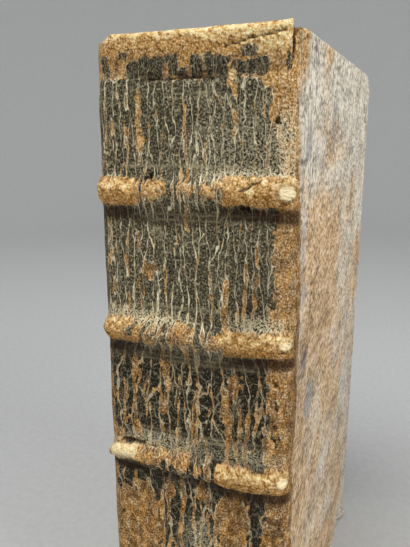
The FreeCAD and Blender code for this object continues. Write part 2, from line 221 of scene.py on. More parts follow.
# Torn slits and deep cracks: points and width.
SLITS = (
    (((10.5, 236.2), (14, 236.7), (17, 237.7), (21, 238.2), (26.5, 239.6)), 0.38),
    (((20.9, 201.2), (18.8, 200.3), (17.6, 199.2), (15.4, 198.7)), 0.6),
    (((-8.6, 157.0), (-8.8, 152.0)), 0.8),
    (((-34, 113.0), (-24, 114.3), (-17.5, 114.5)), 0.9),
    (((-26, 66.8), (-20, 67.6)), 0.7),
    (((28.9, 241.5), (28.9, 237.0), (28.7, 233.5)), 0.6),
    (((-11.9, 228.2), (-2, 228.6), (8, 228.3)), 0.5),
    (((-20, 4.4), (-8, 3.6)), 0.6),
)
# Blind-tooled fillet lines across the spine: height, from, to. The first two are dark with dirt.
FILLETS = (
    (229.3, -17, 14), (228.0, -17, 14), (204.3, -22, 20), (190.6, -14, 24), (188.9, -14, 24),
    (162.3, -22, 12), (146.2, -20, 20), (144.8, -20, 20), (120.5, -18, 22), (119.0, -18, 22),
    (103.0, -12, 20), (73.4, -20, 20), (72.0, -20, 20), (57.6, -20, 20), (56.2, -20, 20),
    (9.4, -20, 20), (8.0, -20, 20),
)
DIRTY_FILLETS = ((228.4, -17, 14), (229.8, -17, 14))
# Small rosette tools: the middle of each.
TOOLS = ((4.0, 223.1), (-10.8, 185.1), (-9.5, 139.0), (4.0, 90.0), (3.8, 40.0))
# Scales of the coat left below the cap: place across and up, half width and half height.
ISLANDS = (
    (-26.8, 231.9, 1.5, 3.1), (-20.3, 234.7, 1.2, 1.3), (-17.8, 230.9, 1.9, 2.4), (-11.8, 231.3, 4.1, 3.0),
    (-5.1, 233.4, 2.0, 1.8), (-3.5, 230.2, 2.5, 1.5), (2.1, 231.5, 1.7, 2.9), (6.8, 231.6, 2.1, 2.9),
    (10.1, 231.2, 1.2, 3.1), (17.4, 230.8, 4.9, 2.1), (16.8, 235.0, 2.3, 1.5), (27.6, 231.8, 0.8, 2.2),
    (28.2, 235.6, 0.6, 1.6),
)
# Patches where the coat has gone, and patches where it stayed: each the same four numbers.
GONE = (
    (-10.2, 197.8, 3.4, 2.6), (6.3, 198.2, 2.0, 2.4), (24.0, 228.3, 4.0, 3.3), (12.8, 228.0, 1.2, 3.5),
    (-15.7, 217.0, 1.0, 9.0), (-13.2, 173.5, 2.5, 2.6), (-3.2, 154.5, 3.0, 4.6), (10.2, 161.0, 1.2, 6.0),
    (8.0, 153.5, 1.5, 3.2), (13.8, 140.0, 1.5, 4.3), (-20.0, 141.5, 1.5, 3.6), (-8.6, 142.0, 1.3, 5.0),
    (-9.8, 130.5, 1.0, 6.0), (11.2, 131.0, 1.2, 8.0), (-26.5, 116.0, 2.6, 3.2), (-19.5, 117.5, 1.3, 4.5),
    (-13.4, 111.5, 4.4, 3.0), (-4.6, 112.5, 4.6, 2.6), (-19.5, 84.0, 8.6, 16.0), (13.2, 90.0, 5.0, 13.0),
    (-8.0, 99.0, 1.6, 3.0), (2.5, 101.5, 1.5, 3.0), (-6, 40, 4.5, 9), (10, 30, 3.5, 11), (-19, 28, 4, 9),
    (2, 14, 9, 4), (18, 47, 3, 5),
)
STAYED = (
    (-23.5, 98.4, 3.0, 3.4), (21.3, 88.0, 2.3, 15.0), (20.0, 124.0, 3.2, 4.5), (26.8, 136.0, 0.7, 1.6),
    (26.9, 123.5, 0.8, 2.4), (27.0, 214.5, 1.0, 2.2), (-22.6, 118.5, 1.5, 3.0),
)
# Long orange-brown streaks where the coat has split: place across, top, bottom and width.
STREAKS = (
    (-20.3, 227, 203, 0.75), (-17.0, 215, 204, 0.5), (-0.8, 222, 200, 0.6), (12.4, 229, 212, 0.6),
    (-27.6, 222, 205, 0.4), (-24.8, 218, 203, 0.45), (5.0, 216, 203, 0.35), (22.0, 220, 204, 0.35),
    (-27.3, 192, 163, 0.6), (-21.3, 184, 158, 0.5), (-17.2, 186, 160, 0.45), (-0.6, 194, 182, 0.6),
    (11.0, 172, 156, 0.95), (16.8, 178, 160, 0.6), (20.0, 183, 161, 0.45), (-8.0, 180, 161, 0.3),
    (6.0, 176, 160, 0.35), (-24.6, 148, 120, 0.75), (-20.6, 141, 116, 0.7), (-16.2, 139, 119, 0.5),
    (-9.4, 149, 118, 0.7), (-4.0, 140, 116, 0.4), (1.6, 136, 116, 0.45), (5.4, 131, 115, 0.5),
    (12.2, 131, 113, 0.8), (15.4, 136, 115, 0.6), (17.8, 129, 113, 0.7), (20.6, 146, 125, 0.35),
    (-8.6, 103, 84, 0.6), (-3.8, 104, 80, 0.6), (0.6, 104, 86, 0.5), (5.4, 101, 82, 0.6),
    (17.4, 99, 74, 0.6), (-22, 62, 30, 0.7), (-12, 55, 12, 0.6), (3, 60, 28, 0.6), (14, 56, 10, 0.7),
)
# Pale dust, mostly above the bands: its amount, then place and half sizes, and how soft it is.
DUST = (
    (0.45, 18, 202.6, 12, 2.0, 0.7), (0.20, 14, 210.0, 14, 9.0, 0.8), (0.90, -19, 158.6, 16, 2.2, 0.7),
    (0.80, 21, 159.6, 9, 2.8, 0.6), (0.55, -10, 116.2, 14, 3.0, 0.7), (0.50, 20, 116.4, 10, 2.6, 0.7),
    (0.40, 2, 84.0, 5, 6.0, 0.7), (0.25, 0, 150.0, 20, 4.0, 0.8),
)
# Blue-grey stains on the covers: distance from the joint, height, half width and half height.
STEEL = (
    (5, 186, 8, 19), (7, 163, 8, 9), (9, 212, 6, 14), (15, 141, 8, 7), (27, 126, 9, 9), (24, 108, 5, 6),
    (56, 214, 9, 14), (82, 92, 6, 12), (22, 60, 4, 9), (118, 130, 7, 12),
)


def band_places(across, up):
    """For each band: the distance from its middle in half widths, its rise and its fullness."""
    for line, lifts, widths, fullness in BANDS:
        offset = (up - along(across, line)) / along(across, widths)
        yield offset, along(across, lifts), along(across, fullness)


def band_height(across, up):
    """How far the bands lift the leather, and how near a point is to a band's crest."""
    rise = np.zeros(np.shape(up))
    crest = np.zeros(np.shape(up))
    for u, lift, full in band_places(across, up):
        dome = np.clip(1 - u * u, 0, 1) ** (1.7 - 0.95 * full)
        end = (1 - ease(REACH - 3.6, REACH + 1.4, np.abs(across))) ** 0.6
        rise = np.maximum(rise, dome * lift * end)
        crest = np.maximum(crest, np.clip(1 - np.abs(u), 0, 1) * end)
    for height in CORDS:
        u = np.abs(up - height) / CORD_REACH
        over = np.clip(1 - u * u, 0, 1) ** 0.75 * CORD_COVER
        rise = np.maximum(rise, over * (1 - ease(REACH - 5, REACH - 1, np.abs(across))))
    return rise, crest


def roll_share(across, up):
    """1 on the full, bare rolls at the bands' ends, 0 elsewhere."""
    end = 1 - ease(REACH + 0.2, REACH + 1.8, np.abs(across))
    ragged = 0.25 * waves(across, up, 31, 2.5)
    return np.maximum.reduce([
        ease(0.35, 0.62, full + ragged) * (1 - ease(0.78, 1.04, np.abs(u))) * end
        for u, _, full in band_places(across, up)
    ])


def bare_cord(across, up):
    """1 where the leather has gone from the third band's left end and its cord shows."""
    edge = CORD_BARE + 0.9 * waves(across, up, 11, 1.2)
    gone = 1 - ease(edge - 0.5, edge + 0.5, across)
    return gone * (1 - ease(2.1, 2.9, np.abs(up - along(across, BANDS[2][0])))) * ease(-34, -33, across)


def rosettes(across, up):
    """1 along the petals of the small tools."""
    share = np.zeros(np.shape(up))
    for a, z in TOOLS:
        petals = 1.6 + 0.5 * np.cos(6 * np.arctan2(up - z, across - a))
        share = np.maximum(share, np.exp(-((np.hypot(across - a, up - z) - petals) / 0.4) ** 2))
    return share


def relief(across, up, cap):
    """Lift of the outer leather along its own normal, in millimetres."""
    wave, spot = partial(waves, across, up), partial(oval, across, up)
    rise, crest = band_height(across, up)
    covered = ease(REACH, REACH + 6, np.abs(across))
    lift = rise + 0.22 * wave(1, 9, 14) + 0.10 * wave(2, 3.2, 5)
    lift += (0.05 + 0.09 * roll_share(across, up)) * wave(3, 1.1, 1.5)
    lift += 0.16 * crest * wave(4, 1.9, 2.6) * (1 - covered) + 0.08 * covered * wave(5, 2.2, 26)
    lift += cap * (0.75 * ease(231.0, 238.5, up) - 0.25 * between(up, 228, 231, 1.5))
    lift += 0.18 * cap * ease(232, 238, up) * wave(6, 2.4, 1.6)
    pressed = 0.22 * (0.6 + 0.4 * wave(7, 5))
    for line in FILLETS:
        lift -= pressed * ruled(across, up, line, 0.1, 0.55)
    lift -= 0.16 * rosettes(across, up)
    for a, z, radius in PLUGS:
        q = np.hypot(across - a, up - z)
        lift += 0.18 * np.exp(-((q - radius) / 0.4) ** 2) - 0.12 * (1 - ease(0.5, 1.0, q / radius))
    rough = 0.15 * wave(8, 0.9)
    for a, z, radius in HOLES:
        q = np.hypot(across - a, (up - z) * 0.8) + rough
        lift -= 1.5 * (1 - ease(0.55 * radius, 1.15 * radius, q))
        lift += 0.12 * np.exp(-((q - 1.3 * radius) / 0.5) ** 2)
    ragged = 0.35 * wave(9, 1.3)
    for points, width in SLITS:
        lift -= 0.9 * crack(across + ragged, up + ragged, points, width)
    # The bare cord: two strands turned round each other every 2.6 mm.
    twist = np.sin((across * 0.9 + (up - 109) * 1.4) * math.tau / 2.6)
    lift += bare_cord(across, up) * (0.2 * twist - 0.25)
    lift -= 0.7 * spot(-22.0, 104.2 + 0.2 * (across + 22.0), 5.8, 1.6, 0.4)
    lift -= 0.6 * spot(-6.5, 197.0, 5.5, 3.4, 0.5) + 0.5 * spot(-19.0, 112.5, 2.6, 2.2, 0.4)

    # The covers' lower corners at the fore edge: thinned, with one raised, ragged patch.
    worn = ease(0, 1, (np.abs(across) - REACH - 148) / 8) * (1 - ease(0, 14, up))
    lift -= worn * (0.5 + 0.6 * wave(10, 2.2))
    return lift + spot(REACH + 141, 3.0, 4.0, 2.6, 0.6) * (1.9 + 0.8 * wave(12, 1.6))


def finish_masks(across, up, cap):
    """The worn leather's masks: where its coat, gold, cream, haze, dirt with painted shade, and cover tones
    lie; the cream also holds painted highlight on the rolls' tops, the amber painted shade on their
    undersides.
    """
    wave, spot = partial(waves, across, up), partial(oval, across, up)
    a = across + 1.2 * wave(21, 2.4, 3.6) + 0.8 * wave(22, 0.9, 1.3)
    z = up + 1.5 * wave(23, 2.6, 3.4) + 0.9 * wave(24, 0.8, 1.1)
    side = np.abs(across) - REACH
    right = np.where(across > 0, 1.0, 0.0)
    low = 1 - ease(180, 205, up)
    wander = 0.5 * wave(25, 1.4, 6) + low * (1.6 * wave(44, 5, 9) + 1.3 * wave(45, 2.2, 3.4))
    cover = ease(-0.6 + 1.4 * low, 2.4 + 8.2 * low, side + 1.4 * between(up, 200, 232, 5) + wander)
    roll = roll_share(across, up)
    crest = band_height(across, up)[1]
    bands = list(band_places(across, up))
    bare = bare_cord(across, up)
    out = {}

    # The black coat: its outline, what has gone and what stayed, its splits and its scales.
    edge_right = along(up, ((0, 22.5), (60, 23), (100, 23.5), (146, 24.5), (150, 24), (187, 24.5),
                            (200, 27.5), (206, 27.0), (216, 24.3), (226, 22.5), (231, 20), (234, 18)))
    edge_left = along(up, ((0, -24), (58, -26), (99, -28.5), (112, -29.4), (150, -29.8), (158, -33),
                           (227, -33), (232, -27)))
    coat = (1 - ease(edge_right - 1.1, edge_right + 1.1, a)) * ease(edge_left - 1, edge_left + 1, a)
    coat *= 1 - ease(227.9, 229.0, up + 0.5 * wave(24, 1.3))
    coat *= (1 - 0.93 * roll) * (1 - 0.22 * ease(0.2, 0.7, crest))
    gone = ovals(a, z, GONE, 0.25)
    coat = np.maximum(coat * (1 - gone), 0.95 * ovals(a, z, STAYED, 0.25))
    worn = along(up, ((0, 0.58), (60, 0.62), (100, 0.74), (125, 0.76), (145, 0.80), (156, 0.68), (168, 0.88),
                      (186, 0.95), (198, 0.72), (206, 0.96), (226, 0.94))) + 0.13 * wave(26, 5, 11)
    crazed = np.maximum(1 - ease(142, 158, up), 0.8 * ease(12, 18, across) * (1 - ease(150, 182, up)))
    out["crazed"] = crazed * (0.75 + 0.35 * wave(46, 6, 9))
    sway = 0.9 * wave(35, 6, 7) + 0.45 * wave(36, 2, 1.8)
    split = np.maximum.reduce([
        between(up, bottom, top, 2.5) * (1 - ease(0.4 * width, 1.3 * width, np.abs(across + sway - place)))
        for place, top, bottom, width in STREAKS
    ])
    coat *= 1 - np.clip(split * (0.75 + 0.55 * wave(37, 2.0, 4.0)), 0, 1)
    coat *= np.clip(worn, 0, 1) * (1 - cover)
    lines = 1.0 - 0.5 * crazed
    for place, height, wide, tall in ISLANDS:
        q = ((0.5 * (a + across) - place) / (wide + 0.2)) ** 4 + ((0.5 * (z + up) - height) / tall) ** 4
        coat = np.maximum(coat, 0.95 * (1 - ease(0.5, 1.6, q)))
        island = 1 - ease(0.8, 1.8, q)
        lines = lines - 0.65 * island
        out["crazed"] = np.maximum(out["crazed"], 0.7 * island)
    out["coat"] = coat
    out["lines"] = np.maximum(lines, 0.2)
    tooled = np.maximum.reduce([ruled(across, up - 0.5, line, 0.15, 0.6) for line in FILLETS[2:]])
    tooled = np.maximum(tooled, 1.5 * rosettes(across, up))
    tooled = tooled * (0.65 + 0.6 * wave(38, 3)) * np.clip(coat, 0, 1)

    # The bare leather: golden, amber and cream on the rolls, the cap and the joints. On the rolls the amber
    # of the lower halves is painted shade and the cream of the upper halves painted highlight; the cream
    # along the cap's top is worn pale leather with painted highlight.
    joint = between(side, -6.5 + 0.8 * wave(27, 3, 8), 0.9, 1.2)
    joint *= right + (1 - right) * (ease(160, 140, up) * 0.5 + ease(226, 234, up))
    blotch = 0.25 + 0.75 * ease(-0.35, 0.45, wave(39, 2.6, 5.5))
    fleck = np.maximum.reduce((
        between(side, -7.5 + wave(47, 2, 5), 3.0, 1.4) * (0.5 + 0.5 * right),
        0.5 * ease(0.15, 0.5, crest) * (1 - roll),
        0.9 * cap * ease(233, 236, up),
    ))
    out["fleck"] = fleck * (0.75 + 0.6 * wave(48, 3, 6))
    out["gold"] = np.maximum.reduce((
        roll,
        cap * ease(231.0, 236.0, z) * (1 - 0.9 * np.clip(coat, 0, 1)),
        joint * blotch * along(up, ((0, 0.10), (120, 0.16), (185, 0.30), (203, 0.85), (240, 1.0))),
        0.9 * gone * ease(190, 199, up),
        0.95 * cover * spot(REACH + 0.5, 239, 6, 14, 0.5),
    ))
    leftward = ease(4, -14, across)
    rightward = ease(4, 14, across)
    damp = 0.30 * wave(49, 2.2, 1.6)
    out["amber"] = np.maximum.reduce((
        0.85 * cap * between(z, 231.0, 237.2 + 1.6 * leftward - 1.2 * rightward, 0.9),
        0.8 * joint * ease(0.0, 0.5, wave(52, 3.0, 6.0)),
        # The rolls' lower halves: painted shade.
        *(roll * between(u + damp, -1.2, 0.0, 0.25) for u, _, _ in bands),
    ))
    patchy = wave(56, 5, 2.6)
    # Painted highlight: the upper half of each band, made paler on the rolls below.
    lit = np.maximum.reduce([between(u, 0.15, 0.85, 0.25) for u, _, _ in bands])
    out["cream"] = np.maximum.reduce((
        # The cap's rounded top: worn pale leather with painted highlight.
        0.9 * cap * ease(236.9, 240.0, z + 1.1 * patchy - 0.9 * leftward + 1.2 * rightward),
        0.7 * cap * oval(a, z, 23.8, 236.6, 4.8, 3.0, 0.5),
        lit * roll * (0.42 + 0.28 * wave(28, 2, 1.4) + 0.26 * patchy),
        spot(18.3, 198.3, 1.0, 1.5, 0.4),
        spot(12.3, 229.6, 1.1, 0.8, 0.4),
        bare,
        *(0.95 * (1 - ease(0.75, 1.15, np.hypot(across - p, up - h) / radius)) for p, h, radius in PLUGS),
    ))
    out["plug"] = np.maximum.reduce((0.4 * bare, *(
        0.75 * (1 - ease(0.7, 1.1, np.hypot(0.7 * across + 0.3 * a - p, 0.7 * up + 0.3 * z - h) / radius))
        for p, h, radius in PLUGS
    )))

    haze = 0.08 * ease(150, 175, up) + 0.5 * between(side, -6, 0.5, 1.5) * between(up, 198, 221, 4) * right
    haze = haze + sum(amount * spot(*patch) for amount, *patch in DUST)
    out["haze"] = haze * (1 - cover) * (1 - 0.65 * roll)

    # Dark marks: dirt in the joints, along two fillets and over the covers; darker down the spine's right
    # below the first band; a dark ring round each plug; and painted shade under the bands, under the bare
    # cord, in holes and slits and low on the covers towards the fore edge.
    brown = between(side, 0, 24, 6) * (0.24 * (1 - ease(150, 168, up)) + 0.14 * between(up, 138, 158, 5))
    brown = brown + 0.26 * between(side, -1, 6, 2) * between(up, 118, 222, 8)
    stained = ease(2, 8, side) * (1 - 0.75 * ease(140, 175, up)) * (1 - ease(205, 225, up))
    jointed = 1 - ease(0.25, 0.8, np.abs(side + 0.4 + 0.5 * wave(29, 9, 7)))
    below = 1 - ease(1.5, 4, side)
    dirty = 0.5 + 0.5 * wave(57, 3)
    grime = [
        # Painted shadow in the hollow under the third band's bare cord.
        spot(-22.0, 106.1 + 0.2 * (across + 22.0), 6.4, 3.1, 0.2),
        0.22 * between(across, 11, 24, 3) * (1 - ease(180, 194, up)),
        brown * (1 + 0.4 * wave(54, 4, 7)),
        # Painted shade: the covers' lower parts darker, most towards the fore edge.
        (0.14 + 0.18 * ease(30, 150, side)) * ease(2, 8, side) * (1 - ease(80, 165, up)),
        0.75 * between(across, 22, 31, 1.5) * (1 - ease(100, 108, up)) * ease(0.0, 0.4, wave(53, 1.6, 2.4)),
        0.75 * jointed * between(up, 186, 224, 4) * ease(-0.3, 0.2, wave(43, 4, 6)),
        (0.14 + 0.16 * wave(55, 16, 12)) * stained,
    ]
    # Painted shade: a dark strip under each band on the spine.
    grime += [(0.60 + 0.4 * full) * between(u, -1.90, -0.94, 0.30) * below for u, _, full in bands]
    # A dark ring round each plug.
    for p, h, radius in PLUGS:
        grime.append(0.5 * np.exp(-((np.hypot(across - p, up - h) / radius - 1.35) / 0.28) ** 2))
    # Painted shade: holes black inside and slits dark along their length.
    grime += [1 - ease(0.7, 1.35, np.hypot(across - p, (up - h) * 0.8) / radius) for p, h, radius in HOLES]
    grime += [0.92 * crack(across, up, points, width * 0.9) for points, width in SLITS]
    grime += [dirty * ruled(across, up, line, 0.1, 0.5) for line in DIRTY_FILLETS]
    out["grime"] = np.maximum.reduce(grime)

    # The covers: blue-grey stains, warm brown places, and pale rims along the fore edge and head with a pale
    # patch at the lower fore corner.
    d = side + 1.5 * wave(30, 3, 9)
    out["steel"] = ovals(d, z, STEEL, 0.9) * (0.65 + 0.5 * wave(40, 5, 7)) * ease(2, 8, side) * cover
    warm = along(up, ((60, 0.50), (120, 0.52), (160, 0.50), (185, 0.22), (205, 0.05), (240, -0.05)))
    warm = warm + 0.35 * between(side, 0, 26, 8) * (1 - ease(145, 170, up))
    warm = warm + 0.6 * oval(d, z, 56, 176, 44, 26, 1.0) + 0.4 * oval(d, z, 24, 146, 9, 12, 0.7)
    warm = warm + 0.36 * wave(32, 30, 24) + 0.34 * wave(33, 13, 9)
    warm = warm + 0.9 * oval(d, z, 40, 239, 5, 4, 0.5)
    out["warm"] = warm - 0.35 * ease(100, 150, side) * (1 - ease(60, 120, up))
    rim = np.maximum(ease(156.5, 158.5, side), cover * ease(238.6, 240, up)) * (0.45 + 0.6 * wave(34, 5))
    out["rim"] = np.maximum(rim, oval(side, up, 157, 1, 7, 9, 0.5))
    out = {name: values if name == "crazed" else np.clip(values, 0, 1) for name, values in out.items()}
    return out | {"tooled": tooled, "cover": cover}


# The leather's closed skins.

def outline(across, fillet):
    """Place and outward normal on the book's plan, for a distance across from the spine's middle."""
    a, side = np.abs(across), np.where(across < 0, -1.0, 1.0)
    t = fillet * math.tan(TURN / 2)
    turn = np.minimum(a, REACH) / ROUND
    sx, sy = ROUND * np.sin(turn), AXIS - ROUND * np.cos(turn)
    nx, ny = np.sin(turn), -np.cos(turn)
    start = (REACH - t) / ROUND
    ax, ay = ROUND * np.sin(start), AXIS - ROUND * np.cos(start)
    u = np.clip((a - REACH + t) / (2 * t), 0, 1)
    bx = (1 - u) ** 2 * ax + 2 * u * (1 - u) * HALF + u * u * HALF
    by = (1 - u) ** 2 * ay + 2 * u * (1 - u) * ARRIS + u * u * (ARRIS + t)
    dx = (1 - u) * (HALF - ax)
    dy = (1 - u) * (ARRIS - ay) + u * t
    size = np.hypot(dx, dy) + 1e-12
    on_spine, on_board = a <= REACH - t, a >= REACH + t
    x = np.where(on_spine, sx, np.where(on_board, HALF, bx))
    y = np.where(on_spine, sy, np.where(on_board, ARRIS + a - REACH, by))
    nx = np.where(on_spine, nx, np.where(on_board, 1.0, dy / size))
    ny = np.where(on_spine, ny, np.where(on_board, 0.0, -dx / size))
    return x * side, y, nx * side, ny


def stations(side):
    """Distances across for one skin's columns: the spine's own, or one cover's."""
    if side == 0:
        return np.linspace(-SEAM, SEAM, 121)
    strip = np.linspace(SEAM, REACH + COVER - ARRIS, 20)
    length = FORE - EDGE_ROUND - COVER - 0.1
    steps = np.linspace(0, 1, 124)
    board = REACH + COVER - ARRIS + 0.1 + length * (0.36 * steps + 0.64 * steps ** 1.9)
    turns = np.radians((30, 58, 78, 90))
    tip = REACH + FORE - ARRIS - EDGE_ROUND + EDGE_ROUND * np.sin(turns)
    whole = np.concatenate([strip, board, tip])
    return whole if side > 0 else -whole[::-1]


def link_new(name, data):
    """A new object of the scene with the data."""
    made = bpy.data.objects.new(name, data)
    bpy.context.scene.collection.objects.link(made)
    return made


def new_piece(name, points, faces):
    """A new mesh object of the scene, from points in metres and faces."""
    mesh = bpy.data.meshes.new(name)
    mesh.from_pydata(points, [], faces)
    mesh.update()
    return link_new(name, mesh)


def edges_of(across):
    """What one skin's columns need: the limits of the leather and its rounds, column by column."""
    a = np.abs(across)
    y_board = ARRIS + a - REACH
    board = y_board > COVER + 0.05
    past = y_board - FORE + EDGE_ROUND
    inset = np.where(past > 0, EDGE_ROUND - np.sqrt(np.clip(EDGE_ROUND ** 2 - past ** 2, 0, 1)), 0.0)
    leather = np.interp(a, (0, 25.3, 29.5, 31), (LEATHER, LEATHER, 0.6, 0.5))
    depth = np.where(board, HALF - INSIDE, np.interp(a, (0, 25.4, 28.7, 29.5), (4.6, 4.6, 1.5, 0.6)))
    depth = np.where(~board & (a > 28.7), np.minimum(depth, leather), depth)
    leather = np.where(board, depth, np.minimum(leather, depth))
    # The headcap is pulled up at its right end and has sunk at its left.
    pulled = np.interp(a, (0, 8, 28.6, 29.0, 31), (CAP_TOP, CAP_TOP + 0.25, CAP_TOP + 0.9, 239.8, 239.9))
    sunk = np.interp(a, (0, 25, 27, 29, 31), (CAP_TOP, CAP_TOP, 240.2, 238.2, 237.6))
    cap_line = np.where(across > 0, pulled, sunk) + 0.12 * waves(across, across * 0, 41, 4) * (a < 28.4)
    far = np.clip(y_board - (FORE - HEAD_CORNER), 0, HEAD_CORNER)
    cornered = BOARD_TOP - (HEAD_CORNER - np.sqrt(HEAD_CORNER ** 2 - far ** 2)) - inset
    high = np.where(board, cornered, cap_line)
    high = np.where(board & (across < 0), high - 2.4 * (1 - ease(0, 4, a - REACH - 1.7)), high)
    far = np.clip(y_board - (FORE - TAIL_CORNER), 0, TAIL_CORNER)
    low = np.where(board, TAIL_CORNER - np.sqrt(TAIL_CORNER ** 2 - far ** 2) + inset, 0.0)
    low = np.where(~board & (a > 26), 0.8, low)
    round_out = np.minimum(np.where(board, EDGE_ROUND, 1.7), 0.45 * depth)
    round_in = np.minimum(0.5, 0.45 * depth)
    return [value[:, None] for value in (board, inset, leather, depth, high, low, round_out, round_in)]


def skin(name, side):
    """One closed piece of the leather: outside, over the head, inside, and round under the tail."""
    across = stations(side)
    board, inset, leather, depth, high, low, round_out, round_in = edges_of(across)
    columns = len(across)
    quarter = np.linspace(0, math.pi / 2, 7)[1:]
    back = np.linspace(0, math.pi / 2, 4)[1:]
    flat = np.linspace(0, 1, 5)[None, 1:-1]
    turn_in = high - LEATHER
    # Each run of rows: how deep it lies under the outside, and its height.
    head = [
        (round_out * (1 - np.cos(quarter)), high - round_out * (1 - np.sin(quarter))),
        (round_out + (depth - round_in - round_out) * flat, high + 0 * flat),
        (depth - round_in * (1 - np.sin(back)), high - round_in * (1 - np.cos(back))),
        (depth + (leather - depth) * np.linspace(0, 1, 3)[None], turn_in + np.zeros((1, 3))),
    ]
    base, top = low + round_out, high - round_out
    inner = np.linspace(0, 1, ROWS_IN + 2)[None, 1:-1]
    runs = [(np.zeros((columns, ROWS_UP)), base + (top - base) * np.linspace(0, 1, ROWS_UP)[None])]
    runs += head
    runs.append((leather + 0 * inner, turn_in + (low + LEATHER - turn_in) * inner))
    runs += [(e[:, ::-1], high + low - z[:, ::-1]) for e, z in reversed(head)]
    e = np.clip(np.concatenate([e for e, z in runs], 1), inset, depth - inset)
    z = np.concatenate([z for e, z in runs], 1)

    s = np.broadcast_to(across[:, None], z.shape)
    # The joint's round: 4.4 mm low on the book, wider towards the head, and uneven.
    fillet = 4.4 + 2.7 * ease(218, 241, z) + 0.5 * waves(z, s * 0, 54, 17)
    x, y, nx, ny = outline(s, fillet)
    inward = board & (e > 1.2)
    x, y = np.where(inward, HALF * np.sign(s), x), np.where(inward, ARRIS + np.abs(s) - REACH, y)
    nx, ny = np.where(inward, np.sign(s), nx), np.where(inward, 0.0, ny)
    cap = 1 - ease(28.2, 29.2, np.abs(s))
    lift = relief(s, z, cap) * np.clip(1 - e / 1.6, 0, 1) * np.clip((HALF + 159.5 - np.abs(s)) / 2, 0, 1)
    points = np.stack([x + nx * (lift - e), y + ny * (lift - e), np.clip(z, 0.0, None)], -1)

    index = np.arange(z.size).reshape(z.shape)
    after = np.roll(index, -1, axis=1)
    quads = np.stack([index[:-1], index[1:], after[1:], after[:-1]], -1).reshape(-1, 4)
    faces = quads.tolist() + [index[0].tolist(), index[-1][::-1].tolist()]
    piece = new_piece(name, (points.reshape(-1, 3) * MM).tolist(), faces)
    mesh = piece.data
    smooth = np.ones(len(faces), bool)
    smooth[-2:] = False
    mesh.polygons.foreach_set("use_smooth", smooth)
    # The plates' own measure across: they are 27 percent narrower low on the book.
    wider = 1 - 0.27 * (1 - ease(136, 166, z))
    for key, first in (("wrap", s), ("lay", s * wider)):
        values = np.stack([first, z, e], -1).astype(np.float32)
        mesh.attributes.new(key, "FLOAT_VECTOR", "POINT").data.foreach_set("vector", values.ravel())
    for key, mask in finish_masks(s, z, cap).items():
        values = mask.astype(np.float32)
        mesh.attributes.new(key, "FLOAT", "POINT").data.foreach_set("value", values.ravel())
    mesh.update()
    return piece


# Materials.

MATHS, RANGE, MIX = "ShaderNodeMath", "ShaderNodeMapRange", "ShaderNodeMix"
NOISE, CELLS, RAMP = "ShaderNodeTexNoise", "ShaderNodeTexVoronoi", "ShaderNodeValToRGB"
MAPPING, VECTOR = "ShaderNodeMapping", "ShaderNodeVectorMath"
PLUS, MINUS, TIMES = {"operation": "ADD"}, {"operation": "SUBTRACT"}, {"operation": "MULTIPLY"}
OVER, MOST, LEAST = {"operation": "DIVIDE"}, {"operation": "MAXIMUM"}, {"operation": "MINIMUM"}
TIMES_PLUS, UNSIGNED = {"operation": "MULTIPLY_ADD"}, {"operation": "ABSOLUTE"}
SMOOTH = {"interpolation_type": "SMOOTHSTEP"}
TINT = {"data_type": "RGBA", "clamp_factor": True}
FLAT_CELLS = {"voronoi_dimensions": "2D", "feature": "F1"}
CELL_EDGES = {"voronoi_dimensions": "2D", "feature": "DISTANCE_TO_EDGE"}


def add_node(tree, kind, settings=None, inputs=()):
    """Adds one node with its settings, ramp stops, socket values and links; gives its outputs."""
    made = tree.nodes.new(kind)
    for key, value in (settings or {}).items():
        if key == "stops":
            while len(made.color_ramp.elements) < len(value):
                made.color_ramp.elements.new(0.5)
            for element, (place, code) in zip(made.color_ramp.elements, value):
                element.position = place
                element.color = linear(code) if isinstance(code, str) else code
        else:
            setattr(made, key, value)
    for key, value in inputs.items() if isinstance(inputs, dict) else enumerate(inputs):
        if isinstance(value, bpy.types.NodeSocket):
            tree.links.new(value, made.inputs[key])
        else:
            made.inputs[key].default_value = value
    return made.outputs


def new_material(name):
    """A new material without nodes, and the function that adds a node to it."""
    material = bpy.data.materials.new(name)
    material.use_nodes = True
    material.node_tree.nodes.clear()
    return material, partial(add_node, material.node_tree)


def dress(add, finish, bump=None):
    """The shader that ends a material, with the values and links of its finish and, where it has
    one, its bump: height, distance in metres and strength."""
    if bump:
        inputs = dict(zip(("Height", "Distance", "Strength"), bump))
        finish = finish | {"Normal": add("ShaderNodeBump", None, inputs)[0]}
    shader = add("ShaderNodeBsdfPrincipled", None, finish)
    add("ShaderNodeOutputMaterial", None, {"Surface": shader["BSDF"]})


def shades(main, pale, steps):
    """Ramp stops: places, each with the main colour times a factor, then faded towards the pale."""
    stops = []
    for place, factor, fade in steps:
        mixed = [part * factor * (1 - fade) + light * fade for part, light in zip(main[:3], pale[:3])]
        stops.append((place, mixed + [1.0]))
    return stops


def grains(add, vector, table):
    """Noises by name, each from its size in the vector's unit, its detail and its roughness."""
    made = {}
    for name, (size, detail, roughness) in table.items():
        placed = add(MAPPING, None, {"Vector": vector, "Scale": [1 / n for n in size]})[0]
        made[name] = add(NOISE, {"noise_dimensions": "3D"},
                         {"Vector": placed, "Scale": 1.0, "Detail": detail, "Roughness": roughness})
    return made


def warp(add, vector, pushes):
    """The vector pushed by noises, each by up to half its amount either way."""
    for noise, amount in pushes:
        centred = add(VECTOR, MINUS, (noise["Color"], (0.5, 0.5, 0.5)))[0]
        pushed = add(VECTOR, TIMES, (centred, amount))[0]
        vector = add(VECTOR, PLUS, (vector, pushed))[0]
    return vector


def cells(add, vector, size, settings):
    """Cells of a size in the vector's unit."""
    placed = add(MAPPING, None, {"Vector": vector, "Scale": [1 / n for n in size]})[0]
    return add(CELLS, settings, {"Vector": placed, "Scale": 1.0})


